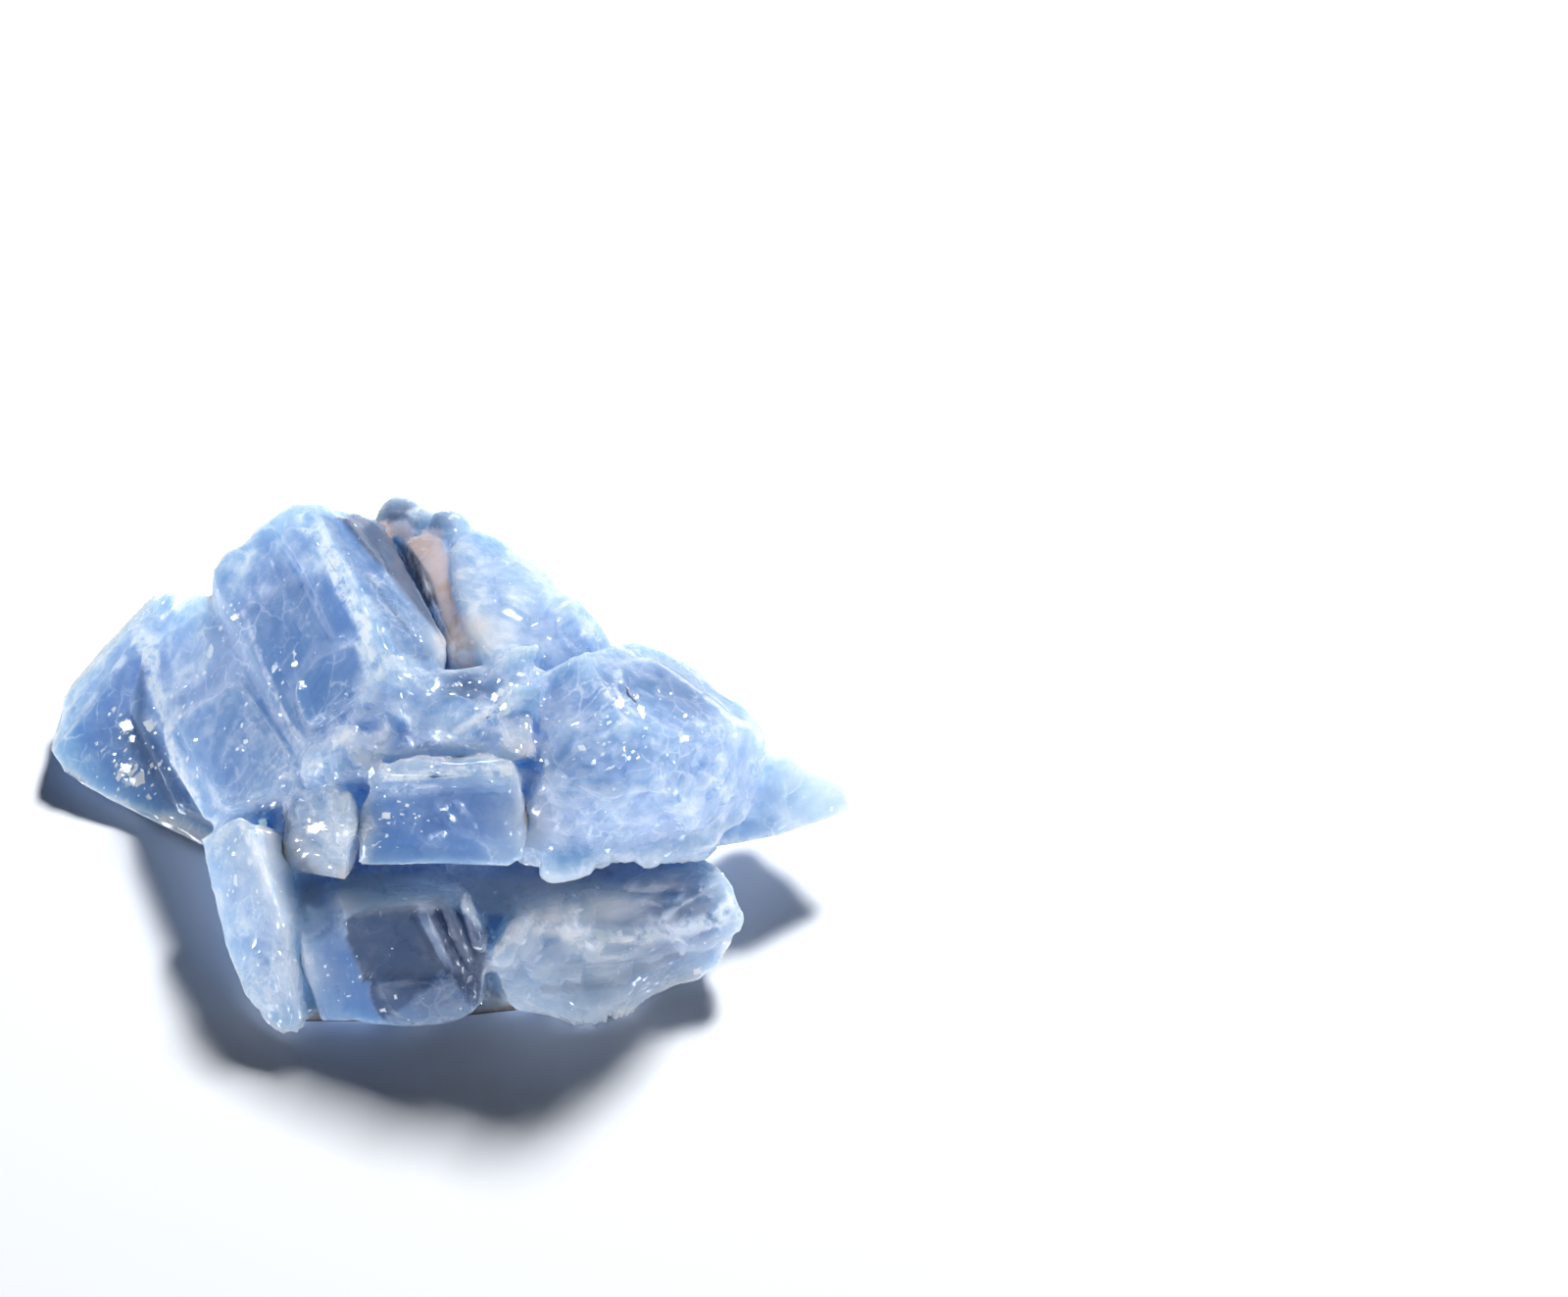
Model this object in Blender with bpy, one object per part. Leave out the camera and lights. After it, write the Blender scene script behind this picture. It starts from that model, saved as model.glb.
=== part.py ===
"""A rough piece of blue calcite, 70 mm long, as broken from the vein.

One natural stone: several crystals grown together and split along calcite's three cleavage directions.
It is built as overlapping convex blocks, each a crystal or a ledge of one, which a Boolean joins in one solid.
The origin is under the middle of the stone, on the surface that it rests on. +Z is up, -Y is the front.
Lengths are in millimetres and angles in degrees, and become metres where a mesh is made.
"""

import math
import random

import bmesh
import bpy
from mathutils import Vector

# Driving dimensions: the stone's length, which scales all the rest, and calcite's own angle
LENGTH = 70.0
DRAWN_LENGTH = 70.0
CLEAVAGE_ANGLE = 101.9
# Most corners are given as they show in a front view: how far across and up on a plane through the origin.
# The eye looks down at VIEW_ELEVATION, and stands EYE_RIGHT, EYE_UP and EYE_AWAY of that plane's origin.
VIEW_ELEVATION = 50.0
EYE_RIGHT, EYE_UP, EYE_AWAY = 29.1, 16.7, 506.0
MM = 0.001 * LENGTH / DRAWN_LENGTH

STONE = "calcite_stone"
SEED = 11
PLATE_ROOT = 2.5

LIFT = math.radians(VIEW_ELEVATION)
RIGHT = Vector((1, 0, 0))
UP = Vector((0, math.sin(LIFT), math.cos(LIFT)))
TO_VIEW = Vector((0, -math.cos(LIFT), math.sin(LIFT)))
EYE = RIGHT * EYE_RIGHT + UP * EYE_UP + TO_VIEW * EYE_AWAY


def sight(across, up):
    """The direction from the eye to the point at across and up on the view's plane."""
    return RIGHT * across + UP * up - EYE


def seen(across, up, height):
    """The point that shows at across and up in the front view, and is height above the table."""
    ray = sight(across, up)
    return EYE + ray * ((height - EYE.z) / ray.z)


class Face:
    """A flat cleavage face through three points, with its normal towards the eye."""

    def __init__(self, first, second, third):
        self.point = Vector(first)
        normal = (Vector(second) - self.point).cross(Vector(third) - self.point).normalized()
        self.normal = normal if normal.dot(TO_VIEW) > 0 else -normal

    def at(self, across, up):
        """The point of this face that shows at across and up in the front view."""
        ray = sight(across, up)
        return EYE + ray * ((self.point - EYE).dot(self.normal) / ray.dot(self.normal))

    def plate(self, outline, rise, root=PLATE_ROOT):
        """Corners of a ledge that stands on this face by rise, with this outline in the front view."""
        top = [self.at(*corner) + self.normal * rise for corner in outline]
        return top + [corner - self.normal * (rise + root) for corner in top]


def cleavage_edges(azimuth, elevation, roll):
    """The three edge directions of a cleavage rhomb whose first edge points to azimuth and elevation."""
    az, el, turn = (math.radians(angle) for angle in (azimuth, elevation, roll))
    along = Vector((math.cos(el) * math.cos(az), math.cos(el) * math.sin(az), math.sin(el)))
    side = along.cross(Vector((0, 0, 1))).normalized()
    over = side.cross(along)
    lean = math.cos(math.radians(CLEAVAGE_ANGLE))
    spread = math.sqrt(1 - lean * lean)
    apart = math.acos(lean / (1 + lean))
    others = [
        along * lean + (side * math.cos(turn + k * apart) + over * math.sin(turn + k * apart)) * spread
        for k in range(2)
    ]
    return [along, *others]


def rhomb(grain, centre, lengths):
    """Corners of a cleavage rhomb of a grain, about a centre."""
    a, b, c = (edge * length / 2 for edge, length in zip(grain, lengths))
    signs = (-1, 1)
    return [Vector(centre) + a * i + b * j + c * k for i in signs for j in signs for k in signs]


def crumbs(rng, grain, start, end, count, spread, sizes):
    """Small cleavage rhombs of one grain, strewn along a line from start to end."""
    made = []
    for k in range(count):
        place = Vector(start).lerp(Vector(end), (k + rng.random()) / count)
        place += Vector([rng.uniform(-spread, spread) for _ in range(3)])
        made.append(rhomb(grain, place, [rng.uniform(*sizes) for _ in range(3)]))
    return made


RIDGE_GRAIN = cleavage_edges(-70, 4, 150)
LUMP_GRAIN = cleavage_edges(2, 3, 250)
LEDGE_GRAIN = cleavage_edges(8, 5, 205)


def base_blocks():
    """The low body that the stone rests on, and what shows of it behind."""
    return {
        "base": [
            (-12, -19, 0), (-2, -19, 0), (9, -17.5, 0), (17, -14, 0), (19, -4, 0), (14, 9, 0), (3, 16, 0),
            (-9, 14, 0), (-16, 4, 0), (-15, -13, 0), (-13, -16, 9), (8, -13, 8), (21, -9, 6), (22, 4, 11),
            (11, 14, 13), (-4, 20, 12), (-18, 15, 9), (-20, 5, 7), (-17, -9, 9),
        ],
        "back_foot": [
            (-7, 15, 0.5), (3, 17, 0.5), (6, 11, 0.5), (-8, 9, 0.5), (-8, 22, 8), (4, 22.5, 9), (9, 15, 8),
            (-12, 17, 7), (-5, 23.4, 12), (3, 22.6, 13), (-4, 16, 14), (4, 14, 14),
        ],
        "heart": [
            (-11, -8, 8), (-5, -9, 8), (-11, -4.5, 8.4), (-5, -4, 8), (-11, -7.4, 12), (-6, -8, 12.6),
            (-9, -4, 13),
            (-4, -3, 13),
        ],
    }


def ridge_blocks():
    """The long ridge at the top left: its blue left face, the pale strip on its right, and the wall after it."""
    back, front = seen(-11.3, 29.3, 25), seen(-4.5, 15.9, 25.5)
    left = Face(back, front, seen(-12.2, 8.4, 17.5))
    strip = Face(back, front, seen(-7.4, 28.4, 22.5))
    return {
        "ridge": [
            back, front, seen(-2.6, 12.2, 22.8), left.at(-12.4, 8.2), left.at(-17.6, 18.9), left.at(-7.6, 11.5),
            left.at(-13.6, 29.2), left.at(-17.5, 26.6), left.at(-20.7, 23.8), strip.at(-8.9, 28.3),
            strip.at(0.2, 17.0),
            seen(-5.3, 27.8, 16.6), seen(-2.6, 21.3, 17.4), seen(0.2, 15.9, 19.8), (-4, -4, 10), (-14, -9, 8),
            (-17, 14, 8),
            (-7, 19, 9), (-2, 6, 9),
        ],
        "ridge_band": left.plate([(-12.0, 28.2), (-4.9, 15.6), (-7.8, 14.0), (-15.0, 27.0)], 0.25),
        "ridge_low_band": left.plate(
            [(-11.2, 16.4), (-7.3, 17.6), (-6.0, 13.6), (-12.0, 9.2), (-13.6, 13.0)], 0.3),
        "ridge_corner": left.plate(
            [(-20.4, 23.4), (-17.8, 26.0), (-16.4, 25.2), (-18.4, 19.6), (-19.4, 20.6)], 0.45),
        "ridge_end": [
            seen(-4.9, 15.4, 25.2), seen(-2.4, 11.8, 23.2), seen(-1.0, 12.6, 23), seen(0.6, 15.2, 22.6),
            seen(-3.6, 9.8, 21.6), seen(-0.8, 9.6, 22), (-4, 0, 16), (1, 0, 16), (-3, -6, 16),
        ],
    }


def left_blocks():
    """The broad stepped face at the left, and the dark wedge behind it that ends in the stone's left tip."""
    broad = Face(seen(-17.5, 19.2, 16), seen(-12.2, 8.4, 17), seen(-23.9, 10.5, 8))
    tip, crest = seen(-34.6, 7.3, 3), seen(-25.7, 18.5, 10.5)
    dark = Face(tip, crest, seen(-20.7, 0.9, 1.8))
    return {
        "broad_face": [
            broad.at(-17.5, 19.4), broad.at(-12.2, 8.4), broad.at(-26.1, 17.0), broad.at(-24.9, 12.0),
            broad.at(-24.3, 7.6), broad.at(-20.6, 1.4), broad.at(-18.6, 1.6), broad.at(-12.8, 4.8),
            seen(-21.4, 22.4, 14.5), seen(-24.6, 20.0, 11), (-18, 15, 6), (-12, -4, 5), (-10, 6, 6),
            (-19, -1, 4),
            (-23, 8, 4),
        ],
        "rhomb_step": broad.plate(
            [(-23.6, 10.4), (-17.5, 14.4), (-12.7, 6.8), (-14.4, 4.0), (-18.9, 2.2)], 0.7),
        "upper_step": broad.plate(
            [(-25.6, 17.0), (-21.0, 20.0), (-18.2, 18.2), (-20.2, 14.2), (-24.6, 12.2)], 0.6),
        "wedge": [
            tip, crest, dark.at(-31.6, 4.9), dark.at(-27.2, 3.2), dark.at(-20.7, 0.9), seen(-33.3, 12.9, 3.2),
            seen(-29.4, 17.5, 5.6), seen(-25.3, 21.7, 8.6), seen(-23.0, 22.0, 11), dark.at(-21, 6),
            (-18, 18, 4),
            (-14, 0, 3), (-26, 15, 1.2), (-31, 10, 0.8), (-28, 4, 0.5), (-19, -2, 0.6), (-16, 12, 1),
        ],
        "wedge_step": dark.plate(
            [(-26.0, 17.6), (-24.4, 12.4), (-23.6, 6.4), (-20.4, 1.8), (-22.8, 2.2), (-27.6, 12.0)], 0.45, 1.5),
        "wedge_bevel": [
            seen(-33.6, 10.8, 3.6), seen(-30.6, 15.4, 6.4), seen(-26.4, 20.0, 10), seen(-26.2, 18.6, 10.8),
            seen(-32.2, 10.4, 5), (-26, 14, 4), (-30, 11, 2), (-24, 16, 4),
        ],
    }


def back_blocks():
    """The pale block at the back right, and the valley beside it with its floor and rim."""
    pale = Face(seen(0.8, 26.2, 19.5), seen(4.8, 16.2, 22.5), seen(12.9, 19.9, 18))
    return {
        "valley_floor": [
            seen(-4.2, 27.0, 16), seen(-0.2, 26.6, 16.4), seen(-1.3, 22.8, 18.4), seen(-1.0, 21.3, 18.6),
            seen(0.8, 15.9, 20.6), seen(3.9, 15.9, 21), seen(2.6, 22, 17.6), (-3, 20, 8), (2, 19, 8),
            (0, 4, 12),
            (4, 4, 12),
        ],
        "vein_bed": [
            seen(-3.9, 26.9, 17.2), seen(0.1, 26.5, 18.4), seen(-1.4, 22.8, 18.6), seen(0.4, 22.8, 19.4),
            seen(-1.0, 21.0, 18.8), seen(1.8, 18.5, 20.9), seen(0.9, 16.2, 20.6), seen(4.0, 15.9, 21.6),
            (-3, 20, 8), (2, 19, 8), (0, 4, 12), (4, 4, 12),
        ],
        "valley_rim": [
            seen(-6.3, 29.1, 17.5), seen(-4.6, 30.3, 17.6), seen(-3.0, 30.1, 18), seen(-1.3, 29.0, 18.2),
            seen(-5.4, 28.0, 17.2), seen(-3.6, 28.5, 18.6), seen(-1.0, 27.5, 17.4), (-7, 20, 8), (0, 19, 8),
            (-4, 17, 10),
        ],
        "rim_right": [
            seen(-0.9, 28.6, 18), seen(2.6, 27.8, 18), seen(0.4, 26.6, 18.6), seen(1.8, 25.6, 19),
            seen(-2.0, 28.4, 17.2), seen(-1.8, 26.8, 17.4), (-2, 19, 9), (4, 18, 9), (1, 15, 12),
        ],
        "pale_block": [
            pale.at(0.3, 26.4), pale.at(0.5, 22.9), pale.at(1.9, 18.5), pale.at(4.0, 15.9), pale.at(8.4, 16.6),
            pale.at(12.4, 18.6), pale.at(12.9, 19.9), pale.at(10.2, 22.4), pale.at(6.4, 25.4),
            pale.at(2.8, 27.6),
            (3, 4, 11), (15, 9, 9), (3, 18, 7), (10, 16, 6), (18, 4, 11),
        ],
        "pale_step": pale.plate([(6.0, 24.4), (9.4, 21.6), (7.4, 18.6), (4.2, 20.2), (3.8, 23.4)], 0.6),
        "pale_corner": pale.plate([(9.2, 17.2), (12.0, 19.4), (11.0, 21.2), (8.6, 19.2)], 0.7),
    }


def lump_blocks():
    """The big lump at the right: its clear face, cloudy top and blunt front, and the pale right tip."""
    clear = Face(seen(16.8, 17.5, 22), seen(26.0, 11.6, 17.5), seen(19.8, 9.3, 24.4))
    tip = Face(seen(34.9, 5.1, 8.5), seen(28.9, 8.8, 13.4), seen(28.7, 0.6, 8))
    return {
        "lump": [
            clear.at(12.2, 16.9), clear.at(16.8, 17.6), clear.at(20.2, 16.3), clear.at(23.1, 13.9),
            clear.at(26.0, 11.7),
            clear.at(26.6, 9.6), clear.at(20.4, 8.9), clear.at(15.4, 10.8), seen(28.9, 8.8, 13.6),
            seen(26.5, 1.8, 9.6),
            seen(19.7, -0.7, 10.8), seen(15.4, -1.6, 11.8), seen(10.5, -2.6, 13), seen(6.7, 0.8, 16.4),
            seen(9.2, 5.9, 23.2), seen(16.0, 5.2, 23.2), seen(11, 1.4, 18.8), seen(17.6, 2.2, 18.2),
            seen(23.6, 6.2, 19), (5, -1, 21), (4, -8, 11), (24, 4, 7), (12, 8, 9),
        ],
        "clear_step": clear.plate(
            [(14.6, 15.8), (17.4, 16.6), (24.6, 11.6), (25.0, 10.0), (20.6, 9.8), (15.6, 12.2)], 0.4),
        "lump_brow": [
            seen(8.2, 9.6, 24.4), seen(13.6, 9.6, 25.6), seen(18.4, 7.4, 24.6), seen(9.0, 5.4, 22.8),
            seen(13.0, 3.4, 21.8),
            seen(19.4, 4.4, 21.6), seen(7.4, 13.0, 23.4), seen(13.4, 13.0, 24.2), (8, -7, 15), (16, -5, 15),
            (14, 1, 15),
        ],
        "lump_cheek": [
            seen(7.0, 1.6, 17.2), seen(10.6, -1.9, 14), seen(8.4, 4.6, 21.2), seen(12.4, 3.4, 21.2),
            seen(15.0, 0.2, 16.2),
            seen(14.0, -1.2, 13.6), (8, -8, 13), (14, -8, 13), (10, -6, 18),
        ],
        "lump_shoulder": [
            seen(19.0, 6.4, 22.6), seen(24.6, 7.6, 19.2), seen(26.2, 4.4, 14), seen(20.8, 2.6, 18.4),
            seen(22.4, 0.8, 13.4),
            seen(17.4, 3.2, 20), (18, -6, 10), (24, -2, 9), (20, 0, 16),
        ],
        "white_shoulder": [
            seen(26.2, 11.4, 17), seen(28.8, 8.9, 14), seen(27.0, 6.0, 14.2), seen(25.0, 9.0, 18),
            seen(26.4, 3.0, 10.8),
            (22, 1, 8), (26, 3, 8), (22, 3, 14),
        ],
        "right_tip": [
            tip.at(28.9, 8.7), tip.at(34.9, 5.1), tip.at(35.3, 2.8), tip.at(28.7, 0.6), tip.at(27.0, 5.8),
            (32, 1, 5.5),
            (27, 4, 4), (20, -6, 6), (18, 1, 12), (25, -3, 4.5),
        ],
        "tip_step": tip.plate([(28.6, 8.2), (31.0, 6.8), (31.4, 4.6), (29.0, 3.4)], 0.5, 1.5),
    }


def front_blocks():
    """The upright block in the middle of the front, the little block beside it and the saddle behind them."""
    front = Face(seen(-6.4, 6.2, 20), seen(6.2, 6.2, 23), seen(-7.8, -2.1, 12.6))
    little = Face(seen(-13.1, 2.0, 14.6), seen(-8.3, 1.3, 17), seen(-9.4, -1.2, 13.6))
    return {
        "front_block": [
            front.at(-6.4, 6.2), front.at(6.3, 6.2), front.at(-7.8, -2.1), front.at(6.6, -2.4),
            seen(-5.4, 7.4, 20.6),
            seen(6.2, 7.2, 23.6), seen(0.4, 6.9, 22.3), (-6, -7, 12), (6, -6, 12), (-4, -7, 18), (5, -6, 20),
        ],
        "front_top_edge": front.plate([(-6.1, 6.0), (6.0, 6.0), (6.1, 5.0), (-6.3, 4.6)], 0.3),
        "front_to_lump": [
            seen(6.1, 6.3, 21.8), seen(6.3, 1.0, 16.4), seen(6.4, -2.2, 12.2), seen(9.2, 6.2, 22.4),
            seen(10.2, -2.3, 12.5), seen(9.0, 1.0, 17.0), (4, -6, 11), (9, -6, 11), (6, -3, 18),
        ],
        "saddle": [
            seen(-12.9, 7.4, 17), seen(-4.5, 14.5, 23), seen(5.5, 15.5, 21.6), seen(12, 14, 22.6),
            seen(8, 8.4, 23),
            seen(-4, 8.8, 20.8), seen(-11, 4.0, 16), (-10, -4, 8), (8, -5, 8), (12, 5, 10), (-6, 5, 11),
            (-4, -10, 9),
        ],
        "saddle_step": [
            seen(-3.6, 9.4, 22), seen(2.2, 9.0, 23.2), seen(4.6, 11.8, 23.6), seen(1.0, 13.4, 23.6),
            seen(-3.0, 12.0, 23),
            (-2, -6, 16), (4, -6, 17), (2, 1, 17),
        ],
        "saddle_left_step": [
            seen(-12.2, 7.8, 18.4), seen(-8.0, 10.6, 20.6), seen(-6.0, 8.6, 20.6), seen(-9.4, 5.4, 18.4),
            seen(-5.4, 6.4, 20), (-12, -6, 12), (-5, -6, 14), (-7, -2, 14),
        ],
        "saddle_white_step": [
            seen(3.4, 15.6, 22.6), seen(7.0, 14.6, 23.4), seen(7.4, 10.4, 24.2), seen(4.4, 10.2, 23.6),
            seen(5.6, 7.6, 23.6),
            seen(8.0, 7.4, 23.8), (4, -5, 16), (8, -3, 16), (5, 1, 16),
        ],
        "little_block": [
            little.at(-13.1, 2.0), little.at(-8.3, 1.3), little.at(-9.4, -1.2), seen(-14.4, 4.6, 14.6),
            seen(-8.0, 4.7, 18.2),
            seen(-13.2, -2.4, 11), seen(-8.6, -3.4, 11.4), (-12, -8, 8), (-6, -8, 8), (-9, -5, 14),
        ],
        "little_top": [
            seen(-12.6, 4.4, 16), seen(-9.4, 5.0, 18.2), seen(-8.6, 2.4, 17.6), seen(-12.2, 2.4, 15.6),
            (-12, -7, 11),
            (-8, -7, 12), (-10, -5, 14),
        ],
    }


def low_front_blocks():
    """Below the recess: the pale foot, the blue column, the dark striped wall and the long pale ledge."""
    wall = Face(seen(-9.4, -6.4, 10.6), seen(-2.0, -5.2, 11.4), seen(-4.0, -15.4, 1.5))
    column = Face(seen(-12.0, -8.8, 9), seen(-9.6, -7.2, 10), seen(-5.2, -14.8, 1.2))
    ledge = Face(seen(3.2, -10.4, 6), seen(8.0, -5.6, 9.4), seen(24.0, -4.6, 8))
    stripes = {
        f"stripe_{k}": wall.plate(
            [(-2.2 + 1.7 * k, -5.4 + 0.35 * k), (-1.3 + 1.7 * k, -5.2 + 0.3 * k),
            (1.9 + 0.85 * k, -11.4 + 1.0 * k),
             (1.1 + 0.85 * k, -11.6 + 1.0 * k)], 0.5 + 0.25 * k)
        for k in range(3)
    }
    return {
        "wall": [
            wall.at(-9.4, -6.4), wall.at(-2.0, -5.2), wall.at(0.4, -4.6), wall.at(3.6, -8.6),
            wall.at(3.2, -14.9),
            wall.at(-1.8, -16.2), wall.at(-4.6, -15.5), wall.at(-9.6, -15.6), (-9, -12, 9.6), (3, -11, 9),
            (-9, -14, 0.3),
            (4, -13, 0.3),
        ],
        "wall_foot": wall.plate(
            [(-6.6, -11.6), (-3.3, -12.6), (2.4, -11.4), (3.1, -14.8), (-1.8, -15.9), (-4.6, -15.2)], 0.7, 0.8),
        "column": [
            column.at(-12.0, -8.8), column.at(-9.6, -7.2), column.at(-5.2, -14.8), column.at(-10.4, -16.3),
            (-12, -13, 9),
            (-7, -12, 9), (-12, -15, 0.5), (-6, -15, 0.5),
        ],
        **stripes,
        "ledge": [
            ledge.at(3.2, -10.6), ledge.at(6.8, -5.7), ledge.at(10.6, -5.6), ledge.at(16.4, -6.8),
            ledge.at(24.0, -4.6),
            ledge.at(25.8, -7.8), ledge.at(14.7, -10.4), ledge.at(9.4, -10.9), seen(24.2, -10.3, 2.6),
            seen(22, -12.0, 1.6), seen(13.9, -14.2, 0.9), seen(5.7, -14.8, 0.7), (6, -10, 7), (20, -7, 7),
            (6, -12, 0.3),
            (18, -12, 0.4), (22, -9, 1.4),
        ],
        "ledge_lip": ledge.plate(
            [(17.8, -6.4), (21.4, -5.6), (24.0, -2.4), (25.0, -4.2), (26.0, -7.6), (20.5, -9.3)], 0.9),
        "ledge_knob": ledge.plate([(3.2, -10.0), (6.4, -5.6), (7.6, -5.8), (7.4, -8.4), (5.4, -10.6)], 1.1),
        "ledge_rib": ledge.plate([(10.2, -5.4), (11.4, -5.2), (12.4, -8.0), (11.2, -8.6)], 0.8),
        "ledge_slab": ledge.plate([(12.4, -6.6), (16.4, -7.4), (18.6, -9.2), (13.6, -10.2), (11.8, -9.4)], 0.6),
        "ledge_back": [
            seen(14.6, -4.2, 9.2), seen(22.8, -2.2, 9.6), seen(23.4, -2.0, 9), seen(24.6, -4.2, 7.8),
            seen(22.6, -3.6, 9), (16, -9, 6), (22, -7, 6), (23, -8, 4), (20, -6, 8),
        ],
        "foot": [
            seen(-17.7, 2.5, 12.4), seen(-21.4, 0.2, 8), seen(-19.9, -4.0, 6), seen(-19.0, -9.4, 3.6),
            seen(-16.7, -15.2, 0.8), seen(-13.4, -17.6, 0.3), seen(-17.2, 1.9, 13.2), seen(-15.0, -4.0, 11.4),
            seen(-13.2, -9.0, 8.6), seen(-11.4, -16.0, 0.8), (-12, -9, 10), (-11, -15, 0.5), (-15, -8, 0.6),
            (-17, 0, 4),
        ],
        "foot_rib": [
            seen(-17.4, 2.1, 13.8), seen(-16.6, 1.9, 14), seen(-14.6, -4.2, 12), seen(-15.4, -4.2, 11.6),
            seen(-13.9, -7.6, 9.6),
            (-16, -8, 9), (-13, -9, 9), (-14, -11, 6),
        ],
        "foot_column": [
            seen(-15.4, -9.4, 7.6), seen(-13.8, -9.4, 8.4), seen(-11.8, -16.4, 1.4), seen(-13.6, -16.2, 1.6),
            (-14, -13, 7),
            (-11, -13, 7), (-13, -15, 0.8), (-11, -15, 0.8),
        ],
        "toe": [
            seen(-16.2, -15.0, 1.6), seen(-13.8, -15.2, 2.2), seen(-11.7, -16.8, 0.6), seen(-13.4, -17.7, 0.3),
            (-15, -17, 0.2),
            (-12, -17, 0.2), (-13, -14, 3),
        ],
    }


def loose_crumbs():
    """Small broken rhombs where the stone is crumbled: the saddle, under the lump and the back."""
    rng = random.Random(SEED)
    runs = [
        crumbs(rng, RIDGE_GRAIN, seen(-12.4, 6.2, 17), seen(-5.0, 9.4, 20.6), 5, 0.7, (1.6, 3.4)),
        crumbs(rng, LUMP_GRAIN, seen(5.0, 15.2, 22), seen(11.0, 9.4, 24), 6, 1.0, (1.6, 3.6)),
        crumbs(rng, LUMP_GRAIN, seen(9.4, -1.6, 14.2), seen(24.0, 0.8, 11), 4, 0.5, (2.0, 4.6)),
        crumbs(rng, RIDGE_GRAIN, (-16, 13, 8), (-3, 19, 8.5), 4, 0.8, (4.0, 12.0)),
        crumbs(rng, LUMP_GRAIN, (4, 14, 8.5), (19, 3, 8), 4, 0.6, (4.0, 9.0)),
        crumbs(rng, RIDGE_GRAIN, (-16, 5, 5.2), (-8, 13, 5.2), 3, 0.3, (4.0, 5.6)),
        crumbs(rng, LEDGE_GRAIN, (8, 11, 5.6), (18, -2, 5.6), 4, 0.3, (4.0, 5.6)),
    ]
    return {f"crumb_{i}_{k}": corners for i, run in enumerate(runs) for k, corners in enumerate(run)}


def block_object(name, corners, collection):
    """The convex block with these corners, as an object in a collection."""
    mesh = bmesh.new()
    for corner in corners:
        mesh.verts.new(Vector(corner) * MM)
    made = bmesh.ops.convex_hull(mesh, input=mesh.verts)
    inside = {part for key in ("geom_interior", "geom_unused") for part in made[key]}
    bmesh.ops.delete(mesh, geom=[v for v in inside if isinstance(v, bmesh.types.BMVert)], context="VERTS")
    bmesh.ops.recalc_face_normals(mesh, faces=mesh.faces)
    data = bpy.data.meshes.new(name)
    mesh.to_mesh(data)
    mesh.free()
    block = bpy.data.objects.new(name, data)
    collection.objects.link(block)
    return block


def calcite():
    """Blue calcite: glassy where it split, and cloudy blue inside."""
    material = bpy.data.materials.new("blue_calcite")
    material.use_nodes = True
    shader = material.node_tree.nodes["Principled BSDF"]
    shader.inputs["Base Color"].default_value = (0.23, 0.36, 0.66, 1)
    shader.inputs["Roughness"].default_value = 0.35
    shader.inputs["Metallic"].default_value = 0.0
    return material


def main():
    """Clears the scene and builds the stone."""
    for old in list(bpy.data.objects):
        bpy.data.objects.remove(old)
    blocks = {
        **base_blocks(), **ridge_blocks(), **left_blocks(), **back_blocks(), **lump_blocks(), **front_blocks(),
        **low_front_blocks(), **loose_crumbs(),
    }
    scene = bpy.context.scene.collection
    others = bpy.data.collections.new("joined_blocks")
    scene.children.link(others)
    stone = block_object(STONE, blocks.pop("base"), scene)
    stone.data.materials.append(calcite())
    for name, corners in blocks.items():
        block = block_object(name, corners, others)
        block.hide_render = True
        block.display_type = "WIRE"
    join = stone.modifiers.new("join_blocks", "BOOLEAN")
    join.operation = "UNION"
    join.solver = "EXACT"
    join.operand_type = "COLLECTION"
    join.collection = others


main()
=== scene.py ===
"""Blue calcite: the looks of one rough stone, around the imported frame.

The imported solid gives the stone's main faces. Here its skin is cut fine, stepped along calcite's cleavage, chipped
along its edges and roughened where it broke, and is then dressed as cloudy blue calcite.
"""

import logging
import math
from dataclasses import dataclass, field
from enum import Enum

import bmesh
import bpy
import numpy as np
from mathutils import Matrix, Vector
from mathutils.bvhtree import BVHTree


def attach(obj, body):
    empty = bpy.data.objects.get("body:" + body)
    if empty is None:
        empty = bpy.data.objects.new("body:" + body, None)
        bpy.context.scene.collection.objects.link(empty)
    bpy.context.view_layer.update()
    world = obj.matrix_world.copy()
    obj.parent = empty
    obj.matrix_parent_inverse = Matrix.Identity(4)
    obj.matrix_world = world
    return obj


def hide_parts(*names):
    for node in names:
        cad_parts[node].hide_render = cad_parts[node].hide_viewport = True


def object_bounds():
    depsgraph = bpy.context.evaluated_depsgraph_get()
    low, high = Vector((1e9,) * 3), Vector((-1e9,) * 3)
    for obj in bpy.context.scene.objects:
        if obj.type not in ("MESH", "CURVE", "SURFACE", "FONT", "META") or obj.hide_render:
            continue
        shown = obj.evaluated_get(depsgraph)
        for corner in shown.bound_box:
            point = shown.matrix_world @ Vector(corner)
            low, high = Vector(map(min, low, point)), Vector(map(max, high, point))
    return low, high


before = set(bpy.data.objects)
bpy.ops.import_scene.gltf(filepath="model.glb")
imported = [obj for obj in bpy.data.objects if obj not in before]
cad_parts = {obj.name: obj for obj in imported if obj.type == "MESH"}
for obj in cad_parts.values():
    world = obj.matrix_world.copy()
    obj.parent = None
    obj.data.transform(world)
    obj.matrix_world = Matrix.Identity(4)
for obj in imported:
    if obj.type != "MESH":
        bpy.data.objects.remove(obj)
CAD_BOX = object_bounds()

MM = 0.001
BODY = "root"
NODE = "calcite_stone"
CLEAVAGE_ANGLE = 101.9
SEED = 20

log = logging.getLogger("blue_calcite")


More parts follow.
